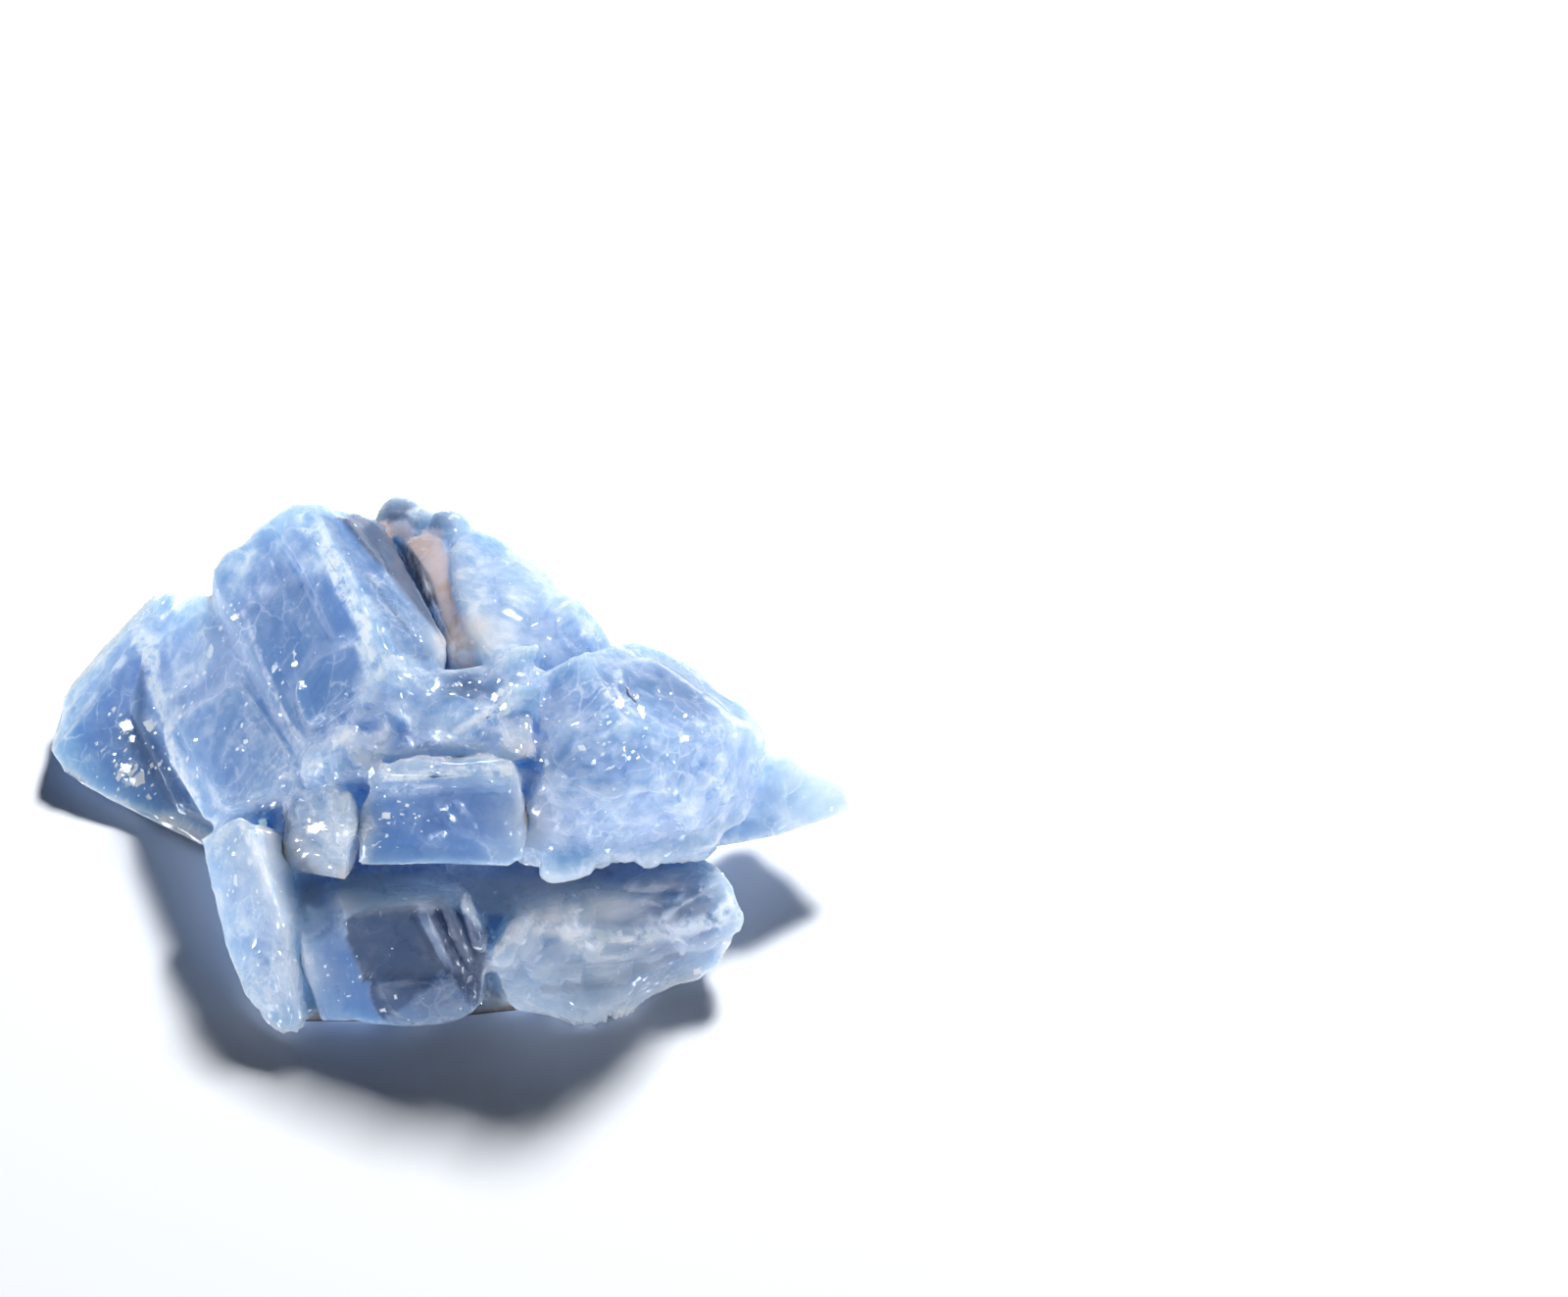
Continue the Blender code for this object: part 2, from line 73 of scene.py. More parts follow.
def linear_rgb(code: str) -> tuple[float, float, float]:
    """Turns a colour into the linear values that shaders take.

    Args:
        code: sRGB colour as six hex digits, with or without a leading #.

    Returns:
        Red, green and blue, linear, 0 to 1.
    """
    code = code.lstrip("#")
    channels = [int(code[i : i + 2], 16) / 255 for i in (0, 2, 4)]
    return tuple(c / 12.92 if c <= 0.04045 else ((c + 0.055) / 1.055) ** 2.4 for c in channels)


def unit(vectors: np.ndarray) -> np.ndarray:
    """Vectors scaled to unit length, of which each row is one."""
    return vectors / np.maximum(np.linalg.norm(vectors, axis=-1, keepdims=True), 1e-12)


def smoothstep(low: float, high: float, value: np.ndarray) -> np.ndarray:
    """The smooth ramp 3t^2 - 2t^3, where t runs from 0 at low to 1 at high."""
    t = np.clip((value - low) / (high - low), 0, 1)
    return t * t * (3 - 2 * t)


def cell_value(cells: np.ndarray, seed: int) -> np.ndarray:
    """A random number from 0 to 1 for each whole-numbered cell, the same on each run.

    The three cell numbers are multiplied by large primes, joined by exclusive or, and stirred twice.

    Args:
        cells: Whole numbers, N by 3.
        seed: Picks another set of numbers.

    Returns:
        N numbers from 0 to 1.
    """
    x, y, z = cells.astype(np.int64).T
    mixed = (x * 73856093) ^ (y * 19349663) ^ (z * 83492791) ^ (seed * 2654435761 + 97)
    mixed = (mixed & 0xFFFFFFFF).astype(np.uint64)
    for bits, prime in ((15, 2246822519), (13, 3266489917)):
        mixed = ((mixed ^ (mixed >> np.uint64(bits))) * np.uint64(prime)) & np.uint64(0xFFFFFFFF)
    mixed ^= mixed >> np.uint64(16)
    return (mixed & np.uint64(0xFFFFFF)).astype(float) / 0xFFFFFF


def cloud_noise(points: np.ndarray, size: float, seed: int, octaves: int = 3) -> np.ndarray:
    """Soft noise: random values at the corners of a cubic lattice, blended smoothly between them.

    Each octave has half the size and half the weight of the one before.

    Args:
        points: Places in mm, N by 3.
        size: Lattice spacing of the first octave, in mm.
        seed: Picks another pattern.
        octaves: How many sizes are summed.

    Returns:
        N values from about -1 to 1.
    """
    total = np.zeros(len(points))
    weight = 0.0
    for octave in range(octaves):
        place = points * (2**octave / size)
        base = np.floor(place)
        t = smoothstep(0, 1, place - base)
        blend = np.zeros(len(points))
        for corner in np.ndindex(2, 2, 2):
            share = np.prod(np.where(corner, t, 1 - t), axis=1)
            blend += share * cell_value(base + np.array(corner), seed + 31 * octave)
        total += (2 * blend - 1) / 2**octave
        weight += 1 / 2**octave
    return total / weight


def cloud_shift(points: np.ndarray, size: float, seed: int, octaves: int = 3) -> np.ndarray:
    """Soft noise along each of the three axes, N by 3, with what cloud_noise takes."""
    return np.stack([cloud_noise(points, size, seed + axis, octaves) for axis in range(3)], axis=1)


def segment_distance(points: np.ndarray, start: np.ndarray, end: np.ndarray) -> tuple[np.ndarray, np.ndarray]:
    """How far points are from a straight segment.

    The nearest place on it is start + t (end - start), with t clipped to 0 and 1.

    Args:
        points: Places, N by 2 or N by 3.
        start: The segment's first end.
        end: Its other end.

    Returns:
        N distances, and t for each point.
    """
    run = end - start
    t = np.clip((points - start) @ run / (run @ run), 0, 1)
    return np.linalg.norm(points - start - t[:, None] * run, axis=1), t


def cleavage_normals(azimuth: float, elevation: float, roll: float) -> np.ndarray:
    """The unit normals of a grain's three cleavage planes.

    Each normal is the cross product of two edges of the cleavage rhomb, which meet at CLEAVAGE_ANGLE.

    Args:
        azimuth: Direction of the first edge round +Z, in degrees.
        elevation: Its rise above the table, in degrees.
        roll: Turn of the other two edges about it, in degrees.

    Returns:
        Three rows, one normal each.
    """
    az, el, turn = np.radians((azimuth, elevation, roll))
    along = np.array((math.cos(el) * math.cos(az), math.cos(el) * math.sin(az), math.sin(el)))
    side = unit(np.cross(along, (0, 0, 1)))
    over = np.cross(side, along)
    lean = math.cos(math.radians(CLEAVAGE_ANGLE))
    spread = math.sqrt(1 - lean * lean)
    edges = [along]
    for angle in (turn, turn + math.acos(lean / (1 + lean))):
        edges.append(along * lean + (side * math.cos(angle) + over * math.sin(angle)) * spread)
    return unit(np.array([np.cross(edges[i - 2], edges[i - 1]) for i in range(3)]))


class Eye:
    """The photograph's eye: a long lens that looks down on the stone from the front.

    Places on the stone can be given as they show: how far across and up, in mm, on a plane through the origin.

    Attributes:
        lift: How steeply it looks down.
        away_mm: Its distance from the plane.
        stone_right_mm: How far right of the picture's middle the origin shows.
        stone_up_mm: How far above the picture's middle it shows.
        lens_mm: The lens's focal length.
        film_mm: The width of the film behind it.
        right: The direction that shows as right.
        up: The direction that shows as up.
        back: The direction from the stone to the eye.
    """

    lift = math.radians(50)
    away_mm = 505.9
    stone_right_mm = -29.09
    stone_up_mm = -16.74
    lens_mm = 135.0
    film_mm = 36.0
    right = np.array((1.0, 0.0, 0.0))
    up = np.array((0.0, math.sin(lift), math.cos(lift)))
    back = np.array((0.0, -math.cos(lift), math.sin(lift)))

    @classmethod
    def place(cls) -> np.ndarray:
        """The eye's place, in mm."""
        return cls.back * cls.away_mm - cls.right * cls.stone_right_mm - cls.up * cls.stone_up_mm

    @classmethod
    def ray(cls, across: float, up: float) -> np.ndarray:
        """The direction from the eye to the point at across and up on the plane, not of unit length."""
        return cls.right * across + cls.up * up - cls.place()

    @classmethod
    def shown(cls, points: np.ndarray) -> np.ndarray:
        """How far across and up each point shows, in mm, on the plane through the origin.

        Args:
            points: The points, N by 3, in mm.

        Returns:
            N rows of across and up.
        """
        eye = cls.place()
        away = points - eye
        flat = eye + away * (-(eye @ cls.back) / (away @ cls.back))[:, None]
        return np.stack([flat @ cls.right, flat @ cls.up], axis=1)

    @classmethod
    def camera(cls) -> None:
        """Makes the camera and gives it to the scene."""
        data = bpy.data.cameras.new("photo_camera")
        data.lens = cls.lens_mm
        data.sensor_width = cls.film_mm
        data.clip_start = 0.01
        data.clip_end = 10
        camera = bpy.data.objects.new("photo_camera", data)
        camera.location = Vector(cls.place() * MM)
        camera.rotation_euler = Vector(cls.back).to_track_quat("Z", "Y").to_euler()
        bpy.context.scene.collection.objects.link(camera)
        bpy.context.scene.camera = camera


class Lamp(Enum):
    """The lamps: the direction to each, its distance, width and height in m, its power in W, and its colour."""

    KEY = ((0.30, 0.62, 0.74), 0.9, 0.16, 0.16, 12.5, "#FBFDFF")
    LEFT = ((-0.8, -0.6, 0.015), 0.8, 0.22, 0.02, 6.5, "#E8F1FF")
    RIGHT = ((0.8, -0.6, 0.015), 0.8, 0.22, 0.02, 4.5, "#E8F1FF")

    @property
    def mirror(self) -> np.ndarray:
        """The normal of a facet that mirrors this lamp to the eye: half way between the two directions."""
        return unit(unit(np.array(self.value[0])) + Eye.back)


class Grain(Enum):
    """The crystals that the stone is grown from: the middle of each in mm, and the turn of its cleavage."""

    RIDGE = ((-13, 6, 14), (-70, 4, 150))
    PALE = ((7, 12, 15), (-58, -6, 160))
    LUMP = ((18, -3, 17), (2, 3, 250))
    FRONT = ((-2, -13, 16), (4, -2, 232))
    LEDGE = ((14, -14, 5), (8, 5, 205))
    FOOT = ((-10, -16, 5), (-80, -62, 40))

    @property
    def middle(self) -> np.ndarray:
        """The grain's middle, in mm."""
        return np.array(self.value[0], float)

    @property
    def normals(self) -> np.ndarray:
        """The grain's cleavage normals, one a row."""
        return cleavage_normals(*self.value[1])


class Tone(Enum):
    """What the stone is like from place to place. Each is an attribute of the mesh, from 0 to 1."""

    DEEP = "deep"
    CLOUD = "cloud"
    # Dark grey-blue for slate-coloured faces, and painted shade where shade falls.
    SLATE = "slate"
    # Grey-brown on the valley's rim, and painted shade in the pit, on the striped wall and the ledge, and in the
    # hollow beside the foot.
    DIRT = "dirt"
    # Greyish white of the ledge, and painted light in shaded gaps and the recess.
    ASH = "ash"
    TAN = "tan"
    FROST = "frost"
    CRUMBLE = "crumble"
    MELT = "melt"
    GLINT = "glint"
    BULGE = "bulge"
    HOLLOW = "hollow"


@dataclass(frozen=True)
class Part:
    """A named part of the stone.

    Attributes:
        name: What it is on the stone.
        tone: The tone that it adds.
    """

    name: str
    tone: Tone


@dataclass(frozen=True)
class Patch(Part):
    """A soft round patch, as it shows to the eye.

    Attributes:
        across: How far right of the origin it shows, in mm.
        up: How far above the origin it shows, in mm.
        reach: Its radius, in mm.
        strength: The tone at its middle, 0 to 1.
    """

    across: float
    up: float
    reach: float
    strength: float = 1.0

    def amount(self, view: "View") -> np.ndarray:
        """How much tone each point gets: the strength times exp(-(distance/reach)^2)."""
        distance = np.linalg.norm(view.warped - view.find(self.across, self.up), axis=1) / self.reach
        return self.strength * np.exp(-(distance**2))


@dataclass(frozen=True)
class Pane(Part):
    """A flat part with straight sides, as it shows to the eye.

    Attributes:
        outline: Its corners in order, each across and up in mm.
        strength: The tone inside it, 0 to 1.
        soft: How wide its border fades, in mm.
        depth: How far in front of and behind its middle it still counts, in mm.
    """

    outline: tuple[tuple[float, float], ...]
    strength: float = 1.0
    soft: float = 0.5
    depth: float = 6.0

    def amount(self, view: "View") -> np.ndarray:
        """How much tone each point gets: the strength times a ramp that is one half on the outline.

        The least distance to a side is kept, and its sign comes from counting how many sides a line to the right
        crosses.

        Args:
            view: The stone's points as they show.

        Returns:
            N numbers from 0 to 1.
        """
        ends = np.array(self.outline, float)
        nearest = np.full(len(view.shown), np.inf)
        within = np.zeros(len(view.shown), bool)
        for start, end in zip(ends, np.roll(ends, -1, axis=0)):
            nearest = np.minimum(nearest, segment_distance(view.shown, start, end)[0])
            spans = (start[1] > view.shown[:, 1]) != (end[1] > view.shown[:, 1])
            lean = (end[0] - start[0]) / ((end[1] - start[1]) or 1e-9)
            within ^= spans & ((view.shown[:, 1] - start[1]) * lean > view.shown[:, 0] - start[0])
        middle = view.find(*ends.mean(axis=0))
        near = 1 - smoothstep(self.depth, self.depth + 1.5, np.abs((view.points - middle) @ Eye.back))
        inside = smoothstep(-self.soft / 2, self.soft / 2, np.where(within, nearest, -nearest))
        return self.strength * inside * near


@dataclass(frozen=True)
class Streak(Part):
    """A line along the stone, as it shows to the eye.

    Attributes:
        path: Its points in order, each across, up and half width in mm.
        strength: The tone in its middle, 0 to 1.
        ragged: How far noise moves its sides, in mm.
    """

    path: tuple[tuple[float, float, float], ...]
    strength: float = 1.0
    ragged: float = 0.5

    def amount(self, view: "View") -> np.ndarray:
        """How much tone each point gets: all up to 0.6 of the half width, and none from 1.5 of it on.

        Args:
            view: The stone's points as they show.

        Returns:
            N numbers from 0 to 1.
        """
        places = view.points + self.ragged * view.shift
        path = [(view.find(across, up), half) for across, up, half in self.path]
        best = np.full(len(places), np.inf)
        for (start, first), (end, last) in zip(path, path[1:]):
            distance, t = segment_distance(places, start, end)
            best = np.minimum(best, distance / (first + t * (last - first)))
        return self.strength * (1 - smoothstep(0.6, 1.5, best))


# The named parts, by the tone that each adds. A patch's row holds its name and across, up, reach and strength.
PATCHES = {
    Tone.DEEP: (
        ("ridge window foot", -10.5, 13.5, 3.5, 0.6),
        ("saddle pool", 1.4, 13.6, 2, 0.8),
        ("lump window", 20.5, 13, 4.5, 1),
        ("lump window left", 10.5, 16, 3, 0.5),
    ),
    Tone.CLOUD: (
        ("ridge top", -14, 26, 3, 0.3),
        ("upper broad face", -21, 17, 4, 0.6),
        ("pale block", 7, 21.5, 5.5, 0.6),
        ("pale block foot", 5, 17.5, 3, 0.6),
        ("saddle", -3.5, 9.5, 4, 0.7),
        ("lump front", 10.5, 4.5, 5, 0.7),
        ("lump right", 22, 4, 5, 0.7),
        # Painted light: the thin tip is paler for the light that comes through it.
        ("right tip", 31.5, 4.5, 6, 1),
        ("white shoulder", 27.5, 8.5, 3, 1),
        ("foot", -18, -4, 5, 0.9),
        ("foot lower", -15.5, -12, 4.5, 0.7),
        # Painted light: this end lies in shade.
        ("front block, right end", 7.5, 1, 2.5, 0.9),
        # The ledge is pale, and its top paler still: painted light where the lump shades it.
        ("ledge left", 7, -9, 5, 1),
        ("ledge middle", 14, -8.5, 5, 0.95),
        ("ledge right", 23, -6.5, 4.5, 0.9),
    ),
    # Painted shade, where shade falls on the foot, the lump, the saddle's pool and the front block.
    Tone.SLATE: (
        ("foot lower, shade", -14, -12.5, 3.5, 0.2),
        ("lump crown, shade", 14, 15.5, 4, 0.12),
        ("lump window, shade", 20, 13, 5, 0.45),
        ("lump front, shade", 10.5, 4, 5, 0.15),
        ("saddle pool, shade", 1.4, 13.9, 1.9, 0.7),
        ("front block, shade", 0, 1, 5.5, 0.2),
    ),
    # Painted shade in the pit, on the striped wall, in the hollow beside the foot and on the ledge's right end. The
    # valley's rim is grey-brown.
    Tone.DIRT: (
        ("valley pit", -3.4, 24.3, 1.5, 0.8),
        ("valley rim", -4.2, 29.2, 2.6, 0.85),
        ("valley rim, top", -4, 28.5, 2.2, 1),
        ("valley rim, right", -0.3, 27.5, 2, 0.8),
        ("valley rim, left", -4.5, 26.2, 1.2, 1),
        ("striped wall, darker", 0.8, -8.3, 2.8, 0.35),
        ("hollow beside the foot, grey", -12.3, -4, 1.6, 0.3),
        ("ledge, shade on the right", 21.5, -6.5, 5, 0.6),
    ),
    # Painted light: a pale grey that lightens gaps, hollows and the end of the valley where they lie in shade, the
    # little block, and the thin tip for the light that comes through it. The ledge's grey is its own.
    Tone.ASH: (
        ("end of the valley", -0.2, 16.9, 1.6, 0.9),
        ("hollow beside the foot", -14, -1, 2.8, 0.9),
        ("hollow beside the foot, lower", -12, -4.8, 3, 0.9),
        ("gap right of the front block", 7.3, 2, 2.6, 0.8),
        ("gap left of the front block", -7.6, 1.5, 2, 0.6),
        ("ledge, grey", 15, -9.5, 9, 0.6),
        ("gap beside the foot", -12.5, -10.5, 3, 0.5),
        ("foot of the vein, right side", 2.4, 17.8, 2.2, 1),
        ("little block, grey", -10.5, 0.8, 2.5, 0.3),
        ("tip, grey", 31.5, 4.5, 5, 0.4),
    ),
    Tone.TAN: (
        ("foot of the vein, stain", 2, 17.5, 1.6, 0.5),
    ),
    Tone.FROST: (
        ("saddle crumbs, white", -8.5, 9, 1.6, 0.6),
        ("saddle right, white", 5.2, 12, 1.6, 0.7),
        ("ridge foot, white", -6, 14, 1.6, 0.7),
        ("little block facet", -10.5, 0.8, 2, 0.7),
        # Painted light: the vein's foot lies in shade.
        ("foot of the vein, white", 1.5, 17.3, 1.3, 0.5),
    ),
    # Glint patches scatter small facets that mirror the lamps and make the stone glossier. There the white flecks
    # also grow into painted highlights.
    Tone.GLINT: (
        ("wedge glint", -27.6, 9.9, 1.6),
        ("wedge glint, lower", -27.6, 5.9, 1.5),
        ("wedge dust", -27, 6, 5, 0.4),
        ("ridge window dust", -13, 14, 3, 0.4),
        ("broad face dust", -17, 12, 3.5, 0.4),
        ("lump glint", 14.8, 12.1, 2),
        ("lump dust", 15, 9, 6, 0.5),
        ("saddle glint", 4.6, 12, 2, 0.9),
        ("foot dust", -14, 0.5, 3.5, 0.6),
        ("front block dust", -3, 4, 3, 0.2),
    ),
    Tone.CRUMBLE: (
        ("front block, scar", -0.2, 1.8, 1.3, 0.5),
        ("front block, top edge crumbs", -1, 6.2, 3.5, 0.35),
        ("front block, left edge crumbs", -6.5, 2, 2.5, 0.35),
        ("pale block, rough top", 8, 22.5, 4, 0.3),
        ("saddle crumbs", -9.5, 8, 3.5),
        ("saddle crumbs right", 3, 11, 4, 0.8),
        ("saddle crumbs, middle", -3.5, 10.5, 3.5, 0.6),
        ("saddle crumbs, lower left", -12.5, 5.5, 2.5, 0.8),
        ("lump crown crumbs", 13.5, 13.5, 3.5, 0.5),
        ("ridge foot crumbs", -5, 14.5, 2.5, 0.6),
        ("lump face", 12.5, 3, 5.5, 0.9),
        ("lump cheek", 22, 3, 4.5, 0.9),
        ("ledge edge crumbs", 15, -7.5, 6, 0.9),
        ("ledge crumbs left", 6, -9.5, 5, 0.9),
        ("ledge crumbs right", 23, -7.5, 5, 0.8),
        ("foot crumbs", -15, -10, 4, 0.5),
    ),
    Tone.MELT: (
        ("notch above the broad face", -19.5, 21.5, 3, 0.9),
        ("pale block, melted", 7.5, 21.5, 6.5, 0.8),
        ("lump window rim", 20.5, 13, 5, 0.6),
        ("front block rim", 0, 5.5, 5, 0.4),
        ("front block rim, left", -5, 5, 2.5, 0.2),
        ("front block, flat face", 2, 1.8, 4, 0.85),
        ("front block, right end, melted", 7, 3, 3, 0.4),
        ("vein's right side, melted", 2.5, 20, 3, 0.9),
        ("vein's foot, melted", 2.5, 16.8, 3, 1),
        ("end of the valley, melted", -0.2, 17.2, 2, 0.9),
        ("right of the front block, melted", 7.5, 2, 2.5, 0.5),
        ("slate block's foot, melted", -2.5, -13.3, 3.5, 0.95),
        ("striped wall, melted", 0.6, -9, 3.5, 0.95),
        ("ledge, left end", 6, -9, 5, 0.2),
        ("ledge, middle", 14, -8, 6.5, 0.2),
        ("ledge, right end", 23, -7, 6, 0.2),
        ("lump, lower edge", 12, 0.5, 6),
        ("lump, lower edge right", 20, 1, 5),
        ("saddle, melted", -7, 8, 3, 0.35),
        ("saddle right, melted", 5, 11, 4, 0.4),
    ),
    Tone.BULGE: (
        ("corner of foot and block, filled", -14, -0.3, 2, 0.55),
        ("corner of the two blocks, filled", -7.8, 2.5, 1.8, 0.42),
        ("corner of block and lump, filled", 7.3, 2.5, 2.2, 0.45),
        ("corner of foot and column, filled", -12.4, -9.5, 2.5, 0.35),
        ("valley rim, raised", 0.3, 28, 2, 0.5),
        ("ledge, belly", 12.5, -14, 3.5, 1),
    ),
}
# A pane's row holds its name and outline, and where they aren't usual its strength, softness and depth.
PANES = {
    Tone.DEEP: (
        ("wedge front", (
            (-34.5, 6.8), (-33.5, 9), (-27, 17.4), (-26, 17), (-26.1, 10.8), (-23.4, 5.9), (-20, 1), (-28.2, 3.8),
        ), 0.75, 0.8),
        ("broad face, lower rhomb", ((-23.9, 10.5), (-17.5, 14.3), (-12.7, 6.7), (-19, 2.8)), 0.3, 0.25),
        ("ridge window", (
            (-17.4, 20.1), (-13.1, 22.8), (-9.3, 23.6), (-7.3, 19.1), (-7, 14.3), (-9.3, 11), (-13.2, 8.9),
            (-15.2, 13.5),
        ), 0.75, 1.6),
        ("strip beside the ridge", ((-10.8, 28.5), (-8.7, 28.1), (0.2, 17), (-2, 15.5), (-4, 16.5)), 0.45, 0.6),
        ("front block face", ((-6.3, 5.2), (6.3, 5.2), (6.6, -2.4), (-6.8, -2.4)), 0.8, 1.2),
        ("bright column", ((-12.1, -8.4), (-9.4, -6.7), (-5.3, -15.5), (-10.4, -16.9)), 0.9, 0.35),
    ),
    Tone.CLOUD: (
        # Painted light: the recess lies in shade.
        ("recess", ((-6.5, -2.8), (7, -3), (24.5, -4), (25, -6.5), (17, -7), (6, -6.5), (0, -5)), 0.8, 1.5, 9),
    ),
    # Painted shade on the wedge, the valley's wall and the strip beside the ridge. On the slate block, its foot and
    # the striped wall, the same dark grey-blue is their own slate colour and painted shade.
    Tone.SLATE: (
        ("wedge shade", ((-27.5, 9), (-26, 16), (-26.1, 10.8), (-23.4, 5.9), (-20, 1), (-24, 3)), 0.5, 1.5),
        ("valley wall", (
            (-9.3, 28.2), (-6, 28.7), (-4.6, 26.6), (-2.4, 21.8), (-0.2, 17.8), (0, 16.9), (-4.6, 22.8),
        ), 0.9, 0.5),
        ("slate block", (
            (-9.4, -6.7), (-6, -5.2), (-2.2, -5.2), (0.1, -10.8), (-0.9, -11.8), (-5.3, -15.5),
        ), 0.85, 0.4),
        ("striped wall", ((-1.9, -5.4), (0.1, -4.4), (3.5, -7.8), (3.1, -14.2), (1.8, -13.5)), 0.95, 0.6),
        ("foot of the slate block", (
            (-5.3, -15.5), (-0.9, -11.8), (0.1, -10.8), (5.5, -13.2), (2, -16), (-0.5, -16.5),
        ), 0.6, 0.5),
        ("strip beside the ridge, shade", (
            (-10.8, 28.5), (-8.7, 28.1), (0.2, 17), (-2, 15.5), (-4, 16.5),
        ), 0.24, 0.6),
    ),
    Tone.DIRT: (
        ("dark wall left of the vein", (
            (-4.9, 26.6), (-3.4, 25.9), (-1.4, 23.5), (-0.7, 20.8), (-1.5, 20.5), (-3.4, 23.4),
        ), 0.85, 0.4),
    ),
    Tone.ASH: (
        # Painted light in the recess, which lies in shade.
        ("recess, grey", ((-9.5, -2.2), (7, -3), (15, -3.5), (15, -7), (6, -6.5), (0, -5), (-9, -6)), 0.95, 1.5, 9),
    ),
    Tone.TAN: (
        ("tan vein, flat part", (
            (-5, 27.3), (-3, 27), (-0.1, 26.7), (-0.9, 23.5), (0.3, 22), (2.1, 18.1), (3.1, 16.1), (0.9, 16.5),
            (-0.7, 20.8), (-1.4, 23.5), (-3.4, 25.9),
        ), 0.85, 0.4),
    ),
}
# A streak's row holds its name and path, and where they aren't usual its strength and raggedness.
STREAKS = {
    Tone.DEEP: (
        ("strip, line", ((-8.5, 27.2, 0.35), (-3.8, 20.6, 0.3)), 0.7, 0.2),
        ("saddle, dark band", ((-3.5, 12.6, 0.6), (1, 12.8, 0.7), (4.5, 13.8, 0.5)), 0.6, 0.8),
        ("saddle, lower dark band", ((-6, 8.3, 0.35), (-1, 8.4, 0.5), (4.5, 9.6, 0.4)), 0.6, 0.8),
        ("ledge, lower band", ((9.5, -13.4, 1), (16, -12.4, 1), (23.5, -10.2, 0.8)), 0.45, 0.8),
    ),
    Tone.SLATE: (
        ("strip, lower line", ((-6.9, 23.2, 0.25), (-3.2, 18.2, 0.25)), 0.35, 0.2),
        ("stripe, left", ((-3.2, -5.6, 0.25), (0.6, -11.2, 0.3)), 0.7, 0.15),
        ("front block, lower band", ((-6, -1.4, 0.7), (6.3, -1.2, 0.7)), 0.3, 0.5),
        # Painted shade in the ledge's groove.
        ("ledge, groove", ((8.5, -12.2, 0.35), (14.5, -11.5, 0.4), (20, -9.9, 0.35), (26, -8.4, 0.3)), 0.45, 0.5),
    ),
    Tone.DIRT: (
        ("dark band left of the vein", ((-4.6, 26.2, 0.7), (-3, 23.9, 0.9), (-1.5, 21.2, 0.6)), 0.9, 0.4),
    ),
    Tone.ASH: (
        # Painted light in the gap, which lies in shade.
        ("gap above the front block", ((-7.5, 7.4, 0.8), (0, 7.6, 0.8), (7, 8.2, 0.8)), 0.7),
    ),
    Tone.TAN: (
        ("tan vein", (
            (-5, 27.3, 0.4), (-2.6, 26.6, 1.1), (-1.2, 25, 1.3), (-0.7, 22.6, 0.7), (0, 20.4, 0.8), (0.9, 18.2, 1),
            (1.7, 16.3, 1.2),
        )),
    ),
    Tone.FROST: (
        ("saddle ridge", ((-11.5, 6.5, 0.4), (-8.5, 9.2, 0.5), (-6.5, 9.8, 0.3)), 0.8),
        ("saddle ridge, right", ((-3.5, 8.6, 0.3), (0.5, 9.2, 0.4), (5, 12, 0.5), (8.5, 14.5, 0.4)), 0.7),
        ("lump crown", (
            (10.5, 17.2, 0.3), (15, 17.3, 0.35), (19, 15.4, 0.3), (24.5, 11, 0.5), (27.5, 8.8, 0.6),
        ), 0.6),
        ("lump seam", ((15, 15.5, 0.25), (15.5, 12, 0.3), (18, 8.5, 0.25), (22.5, 6, 0.3)), 0.5),
        ("broad face seam", ((-17.5, 19.8, 0.3), (-15.2, 13.5, 0.25), (-12.4, 8.2, 0.3)), 0.6),
        ("wedge seam", ((-26.1, 17.8, 0.8), (-24.6, 11.4, 0.6), (-22.3, 4.5, 0.6), (-19, 1, 0.4)), 0.8),
        ("striped wall edge", ((1.8, -5.4, 0.3), (3.2, -6.6, 0.4), (3.8, -8.4, 0.3)), 0.7),
        ("ridge edge", (
            (-14.5, 29.5, 0.5), (-11.7, 27.4, 0.8), (-9.3, 22.8, 0.6), (-7.3, 19.1, 0.6), (-5.9, 14.3, 0.7),
        ), 0.9),
        ("front block top edge", ((-5.9, 5.9, 0.4), (-1.3, 6.2, 0.3), (6, 6.4, 0.5)), 0.9),
        ("foot edge", ((-17.5, 1.9, 0.4), (-16.3, -1.3, 0.3), (-15.2, -4, 0.3)), 0.8),
        ("ledge edge", (
            (4.2, -9.3, 0.4), (5.5, -7.4, 0.9), (8.9, -7.2, 0.8), (13.9, -8.2, 0.8), (18.2, -8, 0.9),
            (23.5, -6.6, 0.7), (24.5, -4.6, 0.5),
        ), 0.9, 0.9),
    ),
}
PARTS = tuple(
    kind(name, tone, *sizes)
    for kind, table in ((Patch, PATCHES), (Pane, PANES), (Streak, STREAKS))
    for tone, rows in table.items()
    for name, *sizes in rows
)


